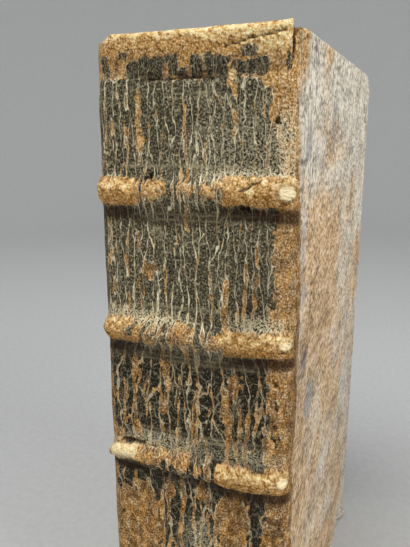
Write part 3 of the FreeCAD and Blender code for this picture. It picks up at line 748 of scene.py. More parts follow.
def edge_gap(add, vector, size):
    """Distance to the nearest edge between cells, in the vector's own unit whichever way the edge
    runs: the cells' own distance over its slope."""
    step = 0.02 * min(size)
    reads = []
    for shift in ((0, 0, 0), (step, 0, 0), (0, step, 0)):
        moved = add(VECTOR, PLUS, (vector, shift))[0]
        reads.append(cells(add, moved, (*size, 1.0), CELL_EDGES)["Distance"])
    slopes = []
    for read in reads[1:]:
        rise = add(MATHS, MINUS, (read, reads[0]))[0]
        slope = add(MATHS, OVER, (rise, step))[0]
        slopes.append(add(MATHS, TIMES, (slope, slope))[0])
    squared = add(MATHS, PLUS, slopes)[0]
    steep = add(MATHS, {"operation": "SQRT"}, (squared,))[0]
    steep = add(MATHS, MOST, (steep, 0.5 / max(size)))[0]
    return add(MATHS, OVER, (reads[0], steep))[0]


def stained_calf(colours):
    """Black-stained calf, vegetable tanned: its coat has shrunk into plates along the grain's
    upright cracks, so tan leather with pale torn edges shows between them. On the covers the
    stain has faded to a dry grey skin with long dark cracks."""
    material, add = new_material("black_stained_calf")
    wrap, lay = (add("ShaderNodeAttribute", {"attribute_name": name})["Vector"] for name in ("wrap", "lay"))
    mask = {
        name: add("ShaderNodeAttribute", {"attribute_name": name})["Fac"]
        for name in ("coat", "crazed", "lines", "gold", "amber", "cream", "plug", "haze", "fleck", "grime",
                     "cover", "steel", "warm", "rim", "tooled")
    }
    # Sizes in mm. The grain is drawn at 0.6 mm, half as large again as the real one, so it shows.
    noise = grains(add, wrap, {
        "broad": ((9, 15, 9), 3.0, 0.5), "drift": ((3.2, 8.5, 3), 2.0, 0.5),
        "medium": ((2.4, 4.0, 3), 4.0, 0.6), "curd": ((1.9, 1.5, 2), 3.0, 0.6),
        "grain": ((0.60, 0.70, 1), 3.0, 0.62), "fine": ((0.55, 0.7, 1), 3.0, 0.65),
        "broken": ((1.2, 2.6, 2), 2.0, 0.5), "hue": ((3.4, 7.0, 3), 3.0, 0.6),
        "cloud": ((26, 34, 9), 4.0, 0.62),
    })
    broad, drift, medium, curd, grain, fine, broken, hue, cloud = (n["Fac"] for n in noise.values())
    warped = warp(add, lay, (
        (noise["drift"], (3.4, 5.0, 0)), (noise["medium"], (1.1, 1.8, 0)), (noise["fine"], (0.36, 0.6, 0)),
    ))

    # Upright plates 2.7 mm wide at the head and 3.7 mm at the tail, cross-cracked into scales
    # about 5 mm tall where the coat is thickest, with crazing about 1.5 mm apart between.
    columns = edge_gap(add, warped, (2.7, 26))
    scales = edge_gap(add, warped, (3.3, 5.2))
    crazing = cells(add, warped, (1.5, 3.6, 1.0), CELL_EDGES)["Distance"]
    luck = cells(add, warped, (3.3, 5.2, 1.0), FLAT_CELLS)["Color"]
    luck = add("ShaderNodeSeparateColor", None, (luck,))["Red"]
    held = add(RANGE, None, (mask["crazed"], 0.0, 1.0, 2.4, 0.22))[0]
    held = add(MATHS, PLUS, (scales, held))[0]
    plates = add(MATHS, LEAST, (columns, held))[0]
    patchy = add(RANGE, None, (medium, 0.25, 0.75, -0.15, 0.15))[0]
    loss = add(MATHS, MINUS, (patchy, mask["coat"]))[0]
    gap = add(RANGE, SMOOTH, (loss, -0.94, -0.20, 0.0, 0.90))[0]
    gap_out = add(MATHS, PLUS, (gap, 0.12))[0]
    plate = add(RANGE, SMOOTH, (plates, gap, gap_out))[0]
    kept = add(MATHS, TIMES_PLUS, (luck, 0.62, mask["coat"]))[0]
    kept = add(MATHS, TIMES_PLUS, (grain, 0.2, kept))[0]
    kept = add(RANGE, SMOOTH, (kept, 0.70, 0.80))[0]
    bare = add(RANGE, SMOOTH, (mask["coat"], 0.04, 0.16))[0]
    kept = add(MATHS, TIMES, (kept, bare))[0]
    plate = add(MATHS, TIMES, (plate, kept))[0]

    # Pale torn edges beside the gaps, broken along their length, and finer lines over the plates.
    beside = add(MATHS, MINUS, (plates, gap))[0]
    beside = add(MATHS, UNSIGNED, (beside,))[0]
    wide = add(RANGE, None, (mask["crazed"], 0.0, 1.0, 0.21, 0.15))[0]
    edge = add(RANGE, SMOOTH, (beside, 0.04, wide, 1.0, 0.0))[0]
    seen = add(RANGE, SMOOTH, (broken, 0.38, 0.52, 0.15, 1.0))[0]
    seen = add(MATHS, TIMES, (seen, mask["lines"]))[0]
    edge = add(MATHS, TIMES, (edge, seen))[0]
    thick = add(RANGE, SMOOTH, (mask["coat"], 0.06, 0.35))[0]
    edge = add(MATHS, TIMES, (edge, thick))[0]
    hair = add(RANGE, SMOOTH, (crazing, 0.02, 0.11, 1.0, 0.0))[0]
    thin = add(RANGE, SMOOTH, (drift, 0.42, 0.60, 0.0, 0.55))[0]
    hair = add(MATHS, TIMES, (hair, thin))[0]
    across = add(RANGE, SMOOTH, (scales, 0.05, 0.24, 0.9, 0.0))[0]
    across = add(MATHS, TIMES, (across, mask["crazed"]))[0]
    hair = add(MATHS, MOST, (hair, across))[0]
    hair = add(MATHS, TIMES, (hair, seen))[0]
    hair = add(MATHS, TIMES, (hair, plate))[0]

    mottle = add(MIX, None, {0: 0.58, 2: medium, 3: grain})[0]
    pale = colours.torn_edge
    tan = add(RAMP, {"stops": shades(colours.bare_leather, pale, (
        (0.38, 0.14, 0.0), (0.46, 0.50, 0.0), (0.53, 1.0, 0.0), (0.62, 1.0, 0.55)))}, (mottle,))[0]
    rust = add(RAMP, {"stops": shades(colours.rust, pale, (
        (0.38, 0.12, 0.0), (0.46, 0.46, 0.0), (0.53, 1.0, 0.0), (0.61, 1.0, 0.55)))}, (mottle,))[0]
    rusty = add(RANGE, SMOOTH, (hue, 0.44, 0.60, 0.05, 0.70))[0]
    tan = add(MIX, TINT, {0: rusty, 6: tan, 7: rust})[2]
    black = add(RAMP, {"stops": shades(colours.stain, pale, (
        (0.38, 0.05, 0.0), (0.47, 0.15, 0.0), (0.55, 0.36, 0.0), (0.62, 0.9, 0.04), (0.70, 1.0, 0.30)
    ))}, (grain,))[0]
    olive = add(RAMP, {"stops": shades(colours.stain, pale, (
        (0.38, 0.16, 0.0), (0.46, 0.42, 0.0), (0.53, 0.9, 0.0), (0.60, 1.0, 0.12), (0.69, 1.0, 0.55)
    ))}, (grain,))[0]
    dull = add(MATHS, TIMES_PLUS, (mask["crazed"], -0.42, broad))[0]
    dull = add(RANGE, SMOOTH, (dull, 0.22, 0.56))[0]
    stain = add(MIX, TINT, {0: dull, 6: black, 7: olive})[2]
    # What lies on the tan leather, from the lowest layer up: its share and its colour.
    layers = [(plate, stain)]
    torn = add(RANGE, SMOOTH, (hue, 0.48, 0.64, 0.0, 0.9))[0]
    torn = add(MIX, TINT, {0: torn, 6: pale, 7: colours.rust})[2]
    layers.append((edge, torn))
    soft = add(MATHS, TIMES, (hair, 0.8))[0]
    layers.append((soft, linear("#d6c9a4")))

    # Gilt-brown bare leather on the rolls, the cap and the joints, pitted about every 0.9 mm.
    pits = warp(add, wrap, ((noise["fine"], (0.5, 0.5, 0)),))
    pits = cells(add, pits, (0.95, 0.85, 1.0), FLAT_CELLS)["Distance"]
    nubbly = add(MIX, None, {0: 0.42, 2: curd, 3: grain})[0]
    bright = add(RAMP, {"stops": shades(colours.gilt, linear("#fbe9bb"), (
        (0.37, 0.14, 0.0), (0.46, 0.60, 0.0), (0.53, 1.0, 0.10), (0.61, 1.0, 0.65)))}, (nubbly,))[0]
    pitted = add(RANGE, SMOOTH, (pits, 0.50, 0.76, 0.0, 0.45))[0]
    bright = add(MIX, TINT, {0: pitted, 6: bright, 7: linear("#57330f")})[2]
    # Rust-orange where the amber mask lies: real colour on the cap and joints, painted shade on the rolls'
    # lower halves.
    bright = add(MIX, TINT, {0: mask["amber"], 6: bright, 7: rust})[2]
    tips = add(RANGE, SMOOTH, (pits, 0.02, 0.26, 0.35, 0.0))[0]
    bright = add(MIX, TINT, {0: tips, 6: bright, 7: linear("#f3dfae")})[2]
    bald = add(RANGE, SMOOTH, (plate, 0.2, 0.8, 1.0, 0.15))[0]
    golden = add(MATHS, TIMES, (mask["gold"], bald))[0]
    layers.append((golden, bright))
    # Cream where the cream mask lies: worn pale leather, plugs and the bare cord, with painted highlight on
    # the rolls' upper halves and the cap's top.
    cream = add(RAMP, {"stops": (
        (0.36, "#85582a"), (0.44, "#c79a59"), (0.52, "#e8cc8e"), (0.62, "#fbecbf"))}, (nubbly,))[0]
    creamy = add(MATHS, TIMES_PLUS, (nubbly, 0.8, mask["cream"]))[0]
    creamy = add(RANGE, SMOOTH, (creamy, 0.55, 1.25))[0]
    layers.append((creamy, cream))

    # Dust: pale specks about 0.7 mm apart, thick above the bands and in the joints.
    specks = cells(add, warped, (0.68, 0.80, 1.0), FLAT_CELLS)["Distance"]
    specks = add(RANGE, SMOOTH, (specks, 0.16, 0.40, 1.0, 0.0))[0]
    dusty = add(RANGE, SMOOTH, (grain, 0.46, 0.58))[0]
    dusty = add(MATHS, MOST, (dusty, specks))[0]
    dusty = add(MATHS, TIMES, (dusty, mask["haze"]))[0]
    layers.append((dusty, linear("#e3d6b0")))
    flecks = add(RANGE, SMOOTH, (nubbly, 0.47, 0.60, 0.0, 0.75))[0]
    flecks = add(MATHS, TIMES, (flecks, specks))[0]
    flecks = add(MATHS, TIMES, (flecks, mask["fleck"]))[0]
    layers.append((flecks, linear("#e8d6b8")))
    crumbs = add(RANGE, SMOOTH, (curd, 0.44, 0.36))[0]
    crumbs = add(MATHS, TIMES, (crumbs, pitted))[0]
    crumbs = add(MATHS, TIMES, (crumbs, mask["fleck"]))[0]
    layers.append((crumbs, linear("#1f150b")))
    layers.append((mask["plug"], linear("#f3e5be")))
    lined = add(MATHS, {**TIMES, "use_clamp": True}, (mask["tooled"], 0.65))[0]
    layers.append((lined, linear("#b5a985")))

    # The covers: cracks about 5 mm apart and 34 mm long in a grey skin over brown leather.
    sheet = grains(add, wrap, {
        "sway": ((10, 14, 3), 3.0, 0.5), "patch": ((17, 11, 3), 5.0, 0.70),
        "spot": ((5.5, 3.2, 2), 4.0, 0.68)})
    patch, spot = sheet["patch"]["Fac"], sheet["spot"]["Fac"]
    wavy = warp(add, wrap, ((sheet["sway"], (9.0, 9.0, 0)), (noise["medium"], (1.4, 2.2, 0))))
    splits = edge_gap(add, wavy, (5.5, 34))
    checks = cells(add, wavy, (4.5, 7.5, 1.0), CELL_EDGES)["Distance"]
    blended = add(MIX, None, {0: 0.5, 2: patch, 3: spot})[0]
    blended = add(MIX, None, {0: 0.45, 2: blended, 3: curd})[0]
    light = linear("#f7efdf")
    grey = add(RAMP, {"stops": shades(colours.cover_grey, light, (
        (0.40, 0.26, 0.0), (0.46, 0.58, 0.0), (0.52, 1.0, 0.0), (0.59, 1.0, 0.75)))}, (blended,))[0]
    brown = add(RAMP, {"stops": shades(colours.cover_brown, light, (
        (0.40, 0.20, 0.0), (0.46, 0.52, 0.0), (0.52, 1.0, 0.0), (0.59, 1.0, 0.55)))}, (blended,))[0]
    warmth = add(MATHS, TIMES_PLUS, (cloud, 0.8, mask["warm"]))[0]
    warmth = add(MATHS, TIMES_PLUS, (spot, 0.5, warmth))[0]
    warmth = add(RANGE, SMOOTH, (warmth, 0.62, 1.55))[0]
    cover_layers = [(warmth, brown)]
    steel = add(MATHS, TIMES_PLUS, (spot, 0.6, mask["steel"]))[0]
    steel = add(RANGE, SMOOTH, (steel, 0.60, 1.00, 0.0, 0.85))[0]
    blue_grey = add(RAMP, {"stops": ((0.42, "#77767a"), (0.58, "#bab5ac"))}, (blended,))[0]
    cover_layers.append((steel, blue_grey))
    split = add(RANGE, SMOOTH, (splits, 0.10, 0.60, 1.0, 0.0))[0]
    along_seen = add(RANGE, SMOOTH, (medium, 0.42, 0.60, 0.08, 0.85))[0]
    split = add(MATHS, TIMES, (split, along_seen))[0]
    old_skin = add(RANGE, SMOOTH, (mask["warm"], 0.0, 0.5, 0.95, 0.40))[0]
    split = add(MATHS, TIMES, (split, old_skin))[0]
    check = add(RANGE, SMOOTH, (checks, 0.015, 0.08, 1.0, 0.0))[0]
    worn = add(RANGE, SMOOTH, (cloud, 0.46, 0.60, 0.0, 0.30))[0]
    check = add(MATHS, TIMES, (check, worn))[0]
    split = add(MATHS, MOST, (split, check))[0]
    cover_layers.append((split, linear("#40362a")))
    # Pale rims along the covers' fore edge and head.
    pale_rim = add(RANGE, SMOOTH, (fine, 0.3, 0.6, 0.5, 1.0))[0]
    pale_rim = add(MATHS, TIMES, (pale_rim, mask["rim"]))[0]
    cover_layers.append((pale_rim, linear("#d9cdb4")))
    cover_skin = grey
    for share, colour in cover_layers:
        cover_skin = add(MIX, TINT, {0: share, 6: cover_skin, 7: colour})[2]
    plain = add(MATHS, {**MINUS, "use_clamp": True}, (1.0, mask["gold"]))[0]
    covered = add(MATHS, TIMES_PLUS, (curd, 0.9, mask["cover"]))[0]
    covered = add(RANGE, SMOOTH, (covered, 0.72, 1.12))[0]
    covered = add(MATHS, TIMES, (covered, plain))[0]
    layers.append((covered, cover_skin))
    # Near-black brown where the mask lies: dirt, and painted shade under the bands, under the bare cord, in
    # holes and slits and low on the covers towards the fore edge.
    thickly = add(RANGE, SMOOTH, (fine, 0.25, 0.60, 1.0, 0.80))[0]
    thickly = add(MATHS, TIMES, (thickly, mask["grime"]))[0]
    layers.append((thickly, linear("#261203")))
    surface = tan
    for share, colour in layers:
        surface = add(MIX, TINT, {0: share, 6: surface, 7: colour})[2]

    rough = add(RANGE, None, (plate, 0.0, 1.0, 0.80, 0.52))[0]
    rough = add(MIX, None, {0: covered, 2: rough, 3: 0.72})[0]
    rough = add(MATHS, {**TIMES_PLUS, "use_clamp": True}, (grain, 0.3, rough))[0]
    rough = add(MATHS, {**MINUS, "use_clamp": True}, (rough, 0.15))[0]
    height = add(MATHS, TIMES, (plate, 0.6))[0]
    height = add(MATHS, TIMES_PLUS, (edge, 0.15, height))[0]
    height = add(MATHS, TIMES_PLUS, (hair, -0.15, height))[0]
    height = add(MATHS, TIMES_PLUS, (grain, 1.1, height))[0]
    height = add(MATHS, TIMES_PLUS, (fine, 0.5, height))[0]
    sunk = add(MATHS, TIMES, (pits, mask["gold"]))[0]
    height = add(MATHS, TIMES_PLUS, (sunk, -1.1, height))[0]
    low = add(MATHS, TIMES_PLUS, (split, -0.8, blended))[0]
    height = add(MIX, None, {0: covered, 2: height, 3: low})[0]
    dress(add, {"Base Color": surface, "Roughness": rough, "IOR": 1.45, "Specular IOR Level": 0.16},
          (height, 0.00032, 0.9))
    return material


def rag_paper(name, light, dark, foxing, lines=False):
    """Handmade rag paper, gelatine sized: matt, fibrous, browned at its edges, spotted by damp."""
    material, add = new_material(name)
    place = add("ShaderNodeTexCoord")["Object"]
    noise = grains(add, place, {
        "fibre": ((0.0009, 0.0012, 0.0016), 4.0, 0.65), "cloud": ((0.022, 0.022, 0.03), 4.0, 0.6),
        "leaf": ((0.00035, 0.02, 0.02), 2.0, 0.5)})
    cloudy = add(RANGE, SMOOTH, (noise["cloud"]["Fac"], 0.34, 0.68))[0]
    tone = add(MIX, TINT, {0: cloudy, 6: linear(light), 7: linear(dark)})[2]
    if lines:
        facing = add("ShaderNodeSeparateXYZ", None, (add("ShaderNodeNewGeometry")["Normal"],))[0]
        facing = add(MATHS, UNSIGNED, (facing,))[0]
        edges = add(RANGE, None, (facing, 0.5, 0.9, 1.0, 0.1))[0]
        shade = add(RANGE, SMOOTH, (noise["leaf"]["Fac"], 0.42, 0.62, 0.0, 0.55))[0]
        shade = add(MATHS, TIMES, (shade, edges))[0]
        tone = add(MIX, TINT, {0: shade, 6: tone, 7: linear("#6d5637")})[2]
    fibres = add(RANGE, SMOOTH, (noise["fibre"]["Fac"], 0.35, 0.70, 0.0, 0.35))[0]
    tone = add(MIX, TINT, {0: fibres, 6: tone, 7: linear(foxing)})[2]
    # Damp spots about 13 mm apart.
    spots = cells(add, place, [1 / 77] * 3, {"voronoi_dimensions": "3D"})["Distance"]
    spots = add(RANGE, SMOOTH, (spots, 0.05, 0.22, 0.5, 0.0))[0]
    damp = add(RANGE, SMOOTH, (noise["cloud"]["Fac"], 0.45, 0.60))[0]
    spots = add(MATHS, TIMES, (spots, damp))[0]
    tone = add(MIX, TINT, {0: spots, 6: tone, 7: linear(foxing)})[2]
    dress(add, {"Base Color": tone, "Roughness": 0.88}, (noise["fibre"]["Fac"], 0.00012, 0.7))
    return material


def hemp(name, light, dark, pitch):
    """Twisted hemp, dry and fuzzy: slanting strands about a third of its width, dull and pale."""
    material, add = new_material(name)
    place = add("ShaderNodeTexCoord")["Object"]
    turned = add(MAPPING, None, {"Vector": place, "Rotation": (0, 0.9, 0)})[0]
    turned = add(MAPPING, None, {"Vector": turned, "Scale": [1 / pitch] * 3})[0]
    strand = add("ShaderNodeTexWave", {"wave_type": "BANDS", "bands_direction": "X"},
                 {"Vector": turned, "Scale": 0.16, "Distortion": 1.5, "Detail": 2.0})["Fac"]
    fuzz = grains(add, place, {"fuzz": ((0.0003, 0.0003, 0.0006), 4.0, 0.7)})["fuzz"]["Fac"]
    tone = add(MIX, TINT, {0: strand, 6: linear(dark), 7: linear(light)})[2]
    dull = add(RANGE, SMOOTH, (fuzz, 0.40, 0.65, 0.0, 0.5))[0]
    tone = add(MIX, TINT, {0: dull, 6: tone, 7: linear("#7b6340")})[2]
    height = add(MATHS, PLUS, (strand, fuzz))[0]
    dress(add, {"Base Color": tone, "Roughness": 0.9}, (height, 0.0002, 0.8))
    return material


def paste_board():
    """Pasteboard, layers of waste paper glued and pressed: dull grey-brown with paler fibres."""
    material, add = new_material("pasteboard_layers")
    place = add("ShaderNodeTexCoord")["Object"]
    noise = grains(add, place, {
        "layer": ((0.0004, 0.014, 0.02), 3.0, 0.6), "fibre": ((0.001, 0.0014, 0.0014), 4.0, 0.65)})
    layers = add(RANGE, SMOOTH, (noise["layer"]["Fac"], 0.38, 0.64))[0]
    tone = add(MIX, TINT, {0: layers, 6: linear("#7a6a50"), 7: linear("#b6a582")})[2]
    fibres = add(RANGE, SMOOTH, (noise["fibre"]["Fac"], 0.45, 0.70, 0.0, 0.6))[0]
    tone = add(MIX, TINT, {0: fibres, 6: tone, 7: linear("#d4c6a4")})[2]
    dress(add, {"Base Color": tone, "Roughness": 0.92}, (noise["fibre"]["Fac"], 0.00015, 0.7))
    return material


def linen_thread(colours):
    """Linen thread in two dyes, wound closely: a soft shine along each turn, dulled by dust."""
    material, add = new_material("linen_thread")
    place = add("ShaderNodeTexCoord")["Object"]
    fuzz = grains(add, place, {"fuzz": ((0.0003, 0.0003, 0.0003), 3.0, 0.6)})["fuzz"]["Fac"]
    turn = add("ShaderNodeAttribute", {"attribute_name": "turn"})["Fac"]
    dyed = add(RANGE, SMOOTH, (turn, 0.40, 0.60))[0]
    tone = add(MIX, TINT, {0: dyed, 6: colours.thread_light, 7: colours.thread_dark})[2]
    dust = add(RANGE, SMOOTH, (fuzz, 0.40, 0.70, 0.0, 0.5))[0]
    tone = add(MIX, TINT, {0: dust, 6: tone, 7: linear("#5d4a31")})[2]
    dress(add, {"Base Color": tone, "Roughness": 0.7}, (fuzz, 0.0001, 0.6))
    return material


def studio_paper(name, colour):
    """Seamless studio paper: matt and even, with a faint tooth."""
    material, add = new_material(name)
    place = add("ShaderNodeTexCoord")["Object"]
    tooth = grains(add, place, {"tooth": ((0.004, 0.004, 0.004), 3.0, 0.6)})["tooth"]["Fac"]
    share = add(RANGE, SMOOTH, (tooth, 0.30, 0.70, 0.0, 0.08))[0]
    tone = add(MIX, TINT, {0: share, 6: colour, 7: linear("#ffffff")})[2]
    dress(add, {"Base Color": tone, "Roughness": 0.9})
    return material


# The leaves.

# Drawn leaves to one folded gathering, the points along a leaf's sides, and the gap between two.
FOLD_LEAVES = 11
ACROSS_POINTS, UP_POINTS = 22, 34
LEAF_GAP = 0.02


def page_edges(sizes):
    """The text block as leaves with uneven edges at head, tail and fore edge."""
    leaf = sizes.leaf_step / MM
    width = BLOCK_HIGH.x - BLOCK_LOW.x
    count = int(width / leaf)
    rng = np.random.default_rng(7)
    middle = BLOCK_LOW.x + (np.arange(count) + 0.5) * width / count
    folds = rng.uniform(-0.22, 0.22, count // FOLD_LEAVES + 2)[np.arange(count) // FOLD_LEAVES]
    low = BLOCK_LOW.y + (ROUND - np.sqrt(ROUND ** 2 - middle ** 2)) + 0.05
    hollow = ROUND - np.sqrt(ROUND ** 2 - BLOCK_HIGH.x ** 2)
    high = BLOCK_HIGH.y - hollow * (1 - (middle / BLOCK_HIGH.x) ** 2)
    head = BLOCK_HIGH.z - 0.25 - np.abs(rng.normal(0, 0.13, count)) + folds
    tail = BLOCK_LOW.z + 0.25 + np.abs(rng.normal(0, 0.13, count)) - folds
    fore = high - 0.3 - np.abs(rng.normal(0, 0.2, count)) + folds
    along_y, along_z = np.linspace(0, 1, ACROSS_POINTS), np.linspace(0, 1, UP_POINTS)
    columns = []
    for k in range(count):
        y0, y1, z0, z1 = low[k], fore[k], tail[k], head[k]
        sway_z = 0.10 * waves(np.full(ACROSS_POINTS, k * 0.3), along_y * 140, 50, 2.2, 18)
        sway_y = 0.16 * waves(np.full(UP_POINTS, k * 0.3), along_z * 230, 51, 2.2, 22)
        sway_z[[0, -1]] = 0
        sway_y[[0, -1]] = 0
        ring = [(y0 + (y1 - y0) * t, z1 + d) for t, d in zip(along_y, sway_z)]
        ring += [(y1 + d, z1 + (z0 - z1) * t) for t, d in zip(along_z, sway_y)][1:]
        ring += [(y1 + (y0 - y1) * t, z0 + d) for t, d in zip(along_y, sway_z)][1:]
        ring.append((y0, (z0 + z1) / 2))
        x0 = BLOCK_LOW.x + k * width / count
        for x in (x0 + LEAF_GAP, x0 + width / count - LEAF_GAP):
            columns.append([(x * MM, y * MM, z * MM) for y, z in ring])
    size = len(columns[0])
    points = [p for column in columns for p in column]
    faces = []
    for k in range(len(columns) - 1):
        for i in range(size):
            j = (i + 1) % size
            faces.append((k * size + i, (k + 1) * size + i, (k + 1) * size + j, k * size + j))
    faces.append(list(range(size)))
    faces.append([(len(columns) - 1) * size + i for i in reversed(range(size))])
    return new_piece("page_block", points, faces)


def winding_tree():
    """Close turns of thread round a curve: Pitch apart, each a ring of the core's radius."""
    tree = bpy.data.node_groups.new("thread_winding", "GeometryNodeTree")
    add = partial(add_node, tree)
    face = tree.interface
    face.new_socket("Geometry", in_out="INPUT", socket_type="NodeSocketGeometry")
    sockets = {}
    for name, kind in (("Pitch", "NodeSocketFloat"), ("Core Radius", "NodeSocketFloat"),
                       ("Thread Radius", "NodeSocketFloat"), ("Seed", "NodeSocketInt"),
                       ("Thread", "NodeSocketMaterial")):
        sockets[name] = face.new_socket(name, in_out="INPUT", socket_type=kind).identifier
    face.new_socket("Geometry", in_out="OUTPUT", socket_type="NodeSocketGeometry")
    start = add("NodeGroupInput")
    points = add("GeometryNodeCurveToPoints", {"mode": "LENGTH"},
                 {"Curve": start["Geometry"], "Length": start["Pitch"]})
    ring = add("GeometryNodeCurvePrimitiveCircle", {"mode": "RADIUS"},
               {"Resolution": 16, "Radius": start["Core Radius"]})
    profile = add("GeometryNodeCurvePrimitiveCircle", {"mode": "RADIUS"},
                  {"Resolution": 6, "Radius": start["Thread Radius"]})
    turn = add("GeometryNodeCurveToMesh", None,
               {"Curve": ring["Curve"], "Profile Curve": profile["Curve"]})
    slack = add("FunctionNodeRandomValue", {"data_type": "FLOAT_VECTOR"},
                {0: (0.97, 0.97, 1.0), 1: (1.05, 1.05, 1.0), "Seed": start["Seed"]})
    turns = add("GeometryNodeInstanceOnPoints", None,
                {"Points": points["Points"], "Instance": turn["Mesh"],
                 "Rotation": points["Rotation"], "Scale": slack[0]})
    number = add("GeometryNodeInputIndex")
    # Three turns pale, three dark, and so on.
    sixth = add(MATHS, {"operation": "MODULO"}, (number[0], 6.0))
    dyed = add(MATHS, {"operation": "GREATER_THAN"}, (sixth[0], 2.5))
    marked = add("GeometryNodeStoreNamedAttribute", {"data_type": "FLOAT", "domain": "INSTANCE"},
                 {"Geometry": turns["Instances"], "Name": "turn", "Value": dyed[0]})
    real = add("GeometryNodeRealizeInstances", None, {"Geometry": marked["Geometry"]})
    dressed = add("GeometryNodeSetMaterial", None,
                  {"Geometry": real["Geometry"], "Material": start["Thread"]})
    add("NodeGroupOutput", None, {"Geometry": dressed["Geometry"]})
    return tree, sockets


CORE_SIZE = 3.3
THREAD_SEED = 11


def wind_threads(name, low, high, sizes, material, tree, sockets):
    """Threads wound round one endband's core, which bows with the spine."""
    centre_z = (low.z + high.z) / 2
    radius = min(high.z - low.z, CORE_SIZE) / 2
    curve = bpy.data.curves.new(name, "CURVE")
    curve.dimensions = "3D"
    line = curve.splines.new("POLY")
    count = 33
    line.points.add(count - 1)
    reach = min(high.x, SEAM) - 0.4
    for point, x in zip(line.points, np.linspace(-reach, reach, count)):
        y = AXIS - math.sqrt((ROUND - LEATHER - radius) ** 2 - x * x)
        point.co = (x * MM, y * MM, centre_z * MM, 1)
    source = link_new(name + "_path", curve)
    winding = source.modifiers.new("winding", "NODES")
    winding.node_group = tree
    winding[sockets["Pitch"]] = sizes.thread_pitch
    winding[sockets["Core Radius"]] = (radius - 0.22) * MM
    winding[sockets["Thread Radius"]] = sizes.thread_pitch * 0.52
    winding[sockets["Seed"]] = THREAD_SEED
    winding[sockets["Thread"]] = material
    graph = bpy.context.evaluated_depsgraph_get()
    mesh = bpy.data.meshes.new_from_object(
        source.evaluated_get(graph), preserve_all_data_layers=True, depsgraph=graph)
    bpy.data.objects.remove(source)
    mesh.name = name
    return link_new(name, mesh)


def put_on(material, *pieces):
    """The material as the only one of each piece."""
    for piece in pieces:
        piece.data.materials.clear()
        piece.data.materials.append(material)
        for face in piece.data.polygons:
            face.material_index = 0


class BookSizes(bpy.types.PropertyGroup):
    leaf_step: bpy.props.FloatProperty(
        name="Leaf Step", description="Thickness of one drawn leaf, a few real leaves together",
        default=0.32 * MM, subtype="DISTANCE", unit="LENGTH")
    thread_pitch: bpy.props.FloatProperty(
        name="Thread Pitch", description="Distance from one turn of the endband's thread to the next",
        default=0.62 * MM, subtype="DISTANCE", unit="LENGTH")
    floor_size: bpy.props.FloatProperty(
        name="Floor Size", description="Half the width of the studio floor",
        default=1.0, subtype="DISTANCE", unit="LENGTH")


class BookColours(bpy.types.PropertyGroup):
    stain: bpy.props.FloatVectorProperty(
        name="Stain", description="The calf's black-olive coat", size=4, subtype="COLOR",
        default=linear("#4c4530"))
    torn_edge: bpy.props.FloatVectorProperty(
        name="Torn Edge", description="The pale fibres along the coat's cracks", size=4, subtype="COLOR",
        default=linear("#f5e9c4"))
    bare_leather: bpy.props.FloatVectorProperty(
        name="Bare Leather", description="The tan leather between the plates", size=4, subtype="COLOR",
        default=linear("#957046"))
    rust: bpy.props.FloatVectorProperty(
        name="Rust", description="The orange patches of the bare leather", size=4, subtype="COLOR",
        default=linear("#cf9547"))
    gilt: bpy.props.FloatVectorProperty(
        name="Rubbed Leather", description="The golden leather on the bands and the cap", size=4,
        subtype="COLOR", default=linear("#cd9750"))
    cover_grey: bpy.props.FloatVectorProperty(
        name="Cover Skin", description="The dry grey skin of the covers", size=4, subtype="COLOR",
        default=linear("#e0d6c4"))
    cover_brown: bpy.props.FloatVectorProperty(
        name="Cover Brown", description="The brown leather that shows through the grey skin", size=4,
        subtype="COLOR", default=linear("#dab68a"))
    thread_light: bpy.props.FloatVectorProperty(
        name="Undyed Thread", description="The endband's pale thread", size=4, subtype="COLOR",
        default=linear("#b39a6b"))
    thread_dark: bpy.props.FloatVectorProperty(
        name="Dyed Thread", description="The endband's dark thread", size=4, subtype="COLOR",
        default=linear("#5b4632"))
    floor: bpy.props.FloatVectorProperty(
        name="Floor", description="The studio paper under and behind the book", size=4, subtype="COLOR",
        default=linear("#bcbdbc"))


class BOOK_OT_leather(bpy.types.Operator):
    """Covers the spine, the joints and both boards in worn leather"""
    bl_idname = "old_book.leather"
    bl_label = "Cover in Leather"

    def execute(self, context):
        material = stained_calf(context.scene.old_book_colours)
        spine = skin("spine_skin", 0)
        front = skin("front_cover_skin", 1)
        back = skin("back_cover_skin", -1)
        put_on(material, spine, front, back)
        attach(spine, "book_block")
        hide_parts("spine_leather")
        for piece, body, side in ((front, "front_cover", 1), (back, "back_cover", -1)):
            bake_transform(piece)
            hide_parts(body.replace("cover", "leather"))
        return {"FINISHED"}


class BOOK_OT_leaves(bpy.types.Operator):
    """Makes the block of leaves with uneven edges"""
    bl_idname = "old_book.leaves"
    bl_label = "Make the Leaves"

    def execute(self, context):
        piece = page_edges(context.scene.old_book_sizes)
        put_on(rag_paper("rag_paper_edges", "#c9b78f", "#ab966d", "#8d7349", lines=True), piece)
        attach(piece, "book_block")
        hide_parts("text_block")
        return {"FINISHED"}


class BOOK_OT_endbands(bpy.types.Operator):
    """Winds linen thread round the head and tail bands"""
    bl_idname = "old_book.endbands"
    bl_label = "Wind the Endbands"

    def execute(self, context):
        scene = context.scene
        thread = linen_thread(scene.old_book_colours)
        tree, sockets = winding_tree()
        for name, low, high in (
            ("head_band_threads", HEAD_LOW, HEAD_HIGH), ("tail_band_threads", TAIL_LOW, TAIL_HIGH),
        ):
            piece = wind_threads(name, low, high, scene.old_book_sizes, thread, tree, sockets)
            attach(piece, "book_block")
        return {"FINISHED"}


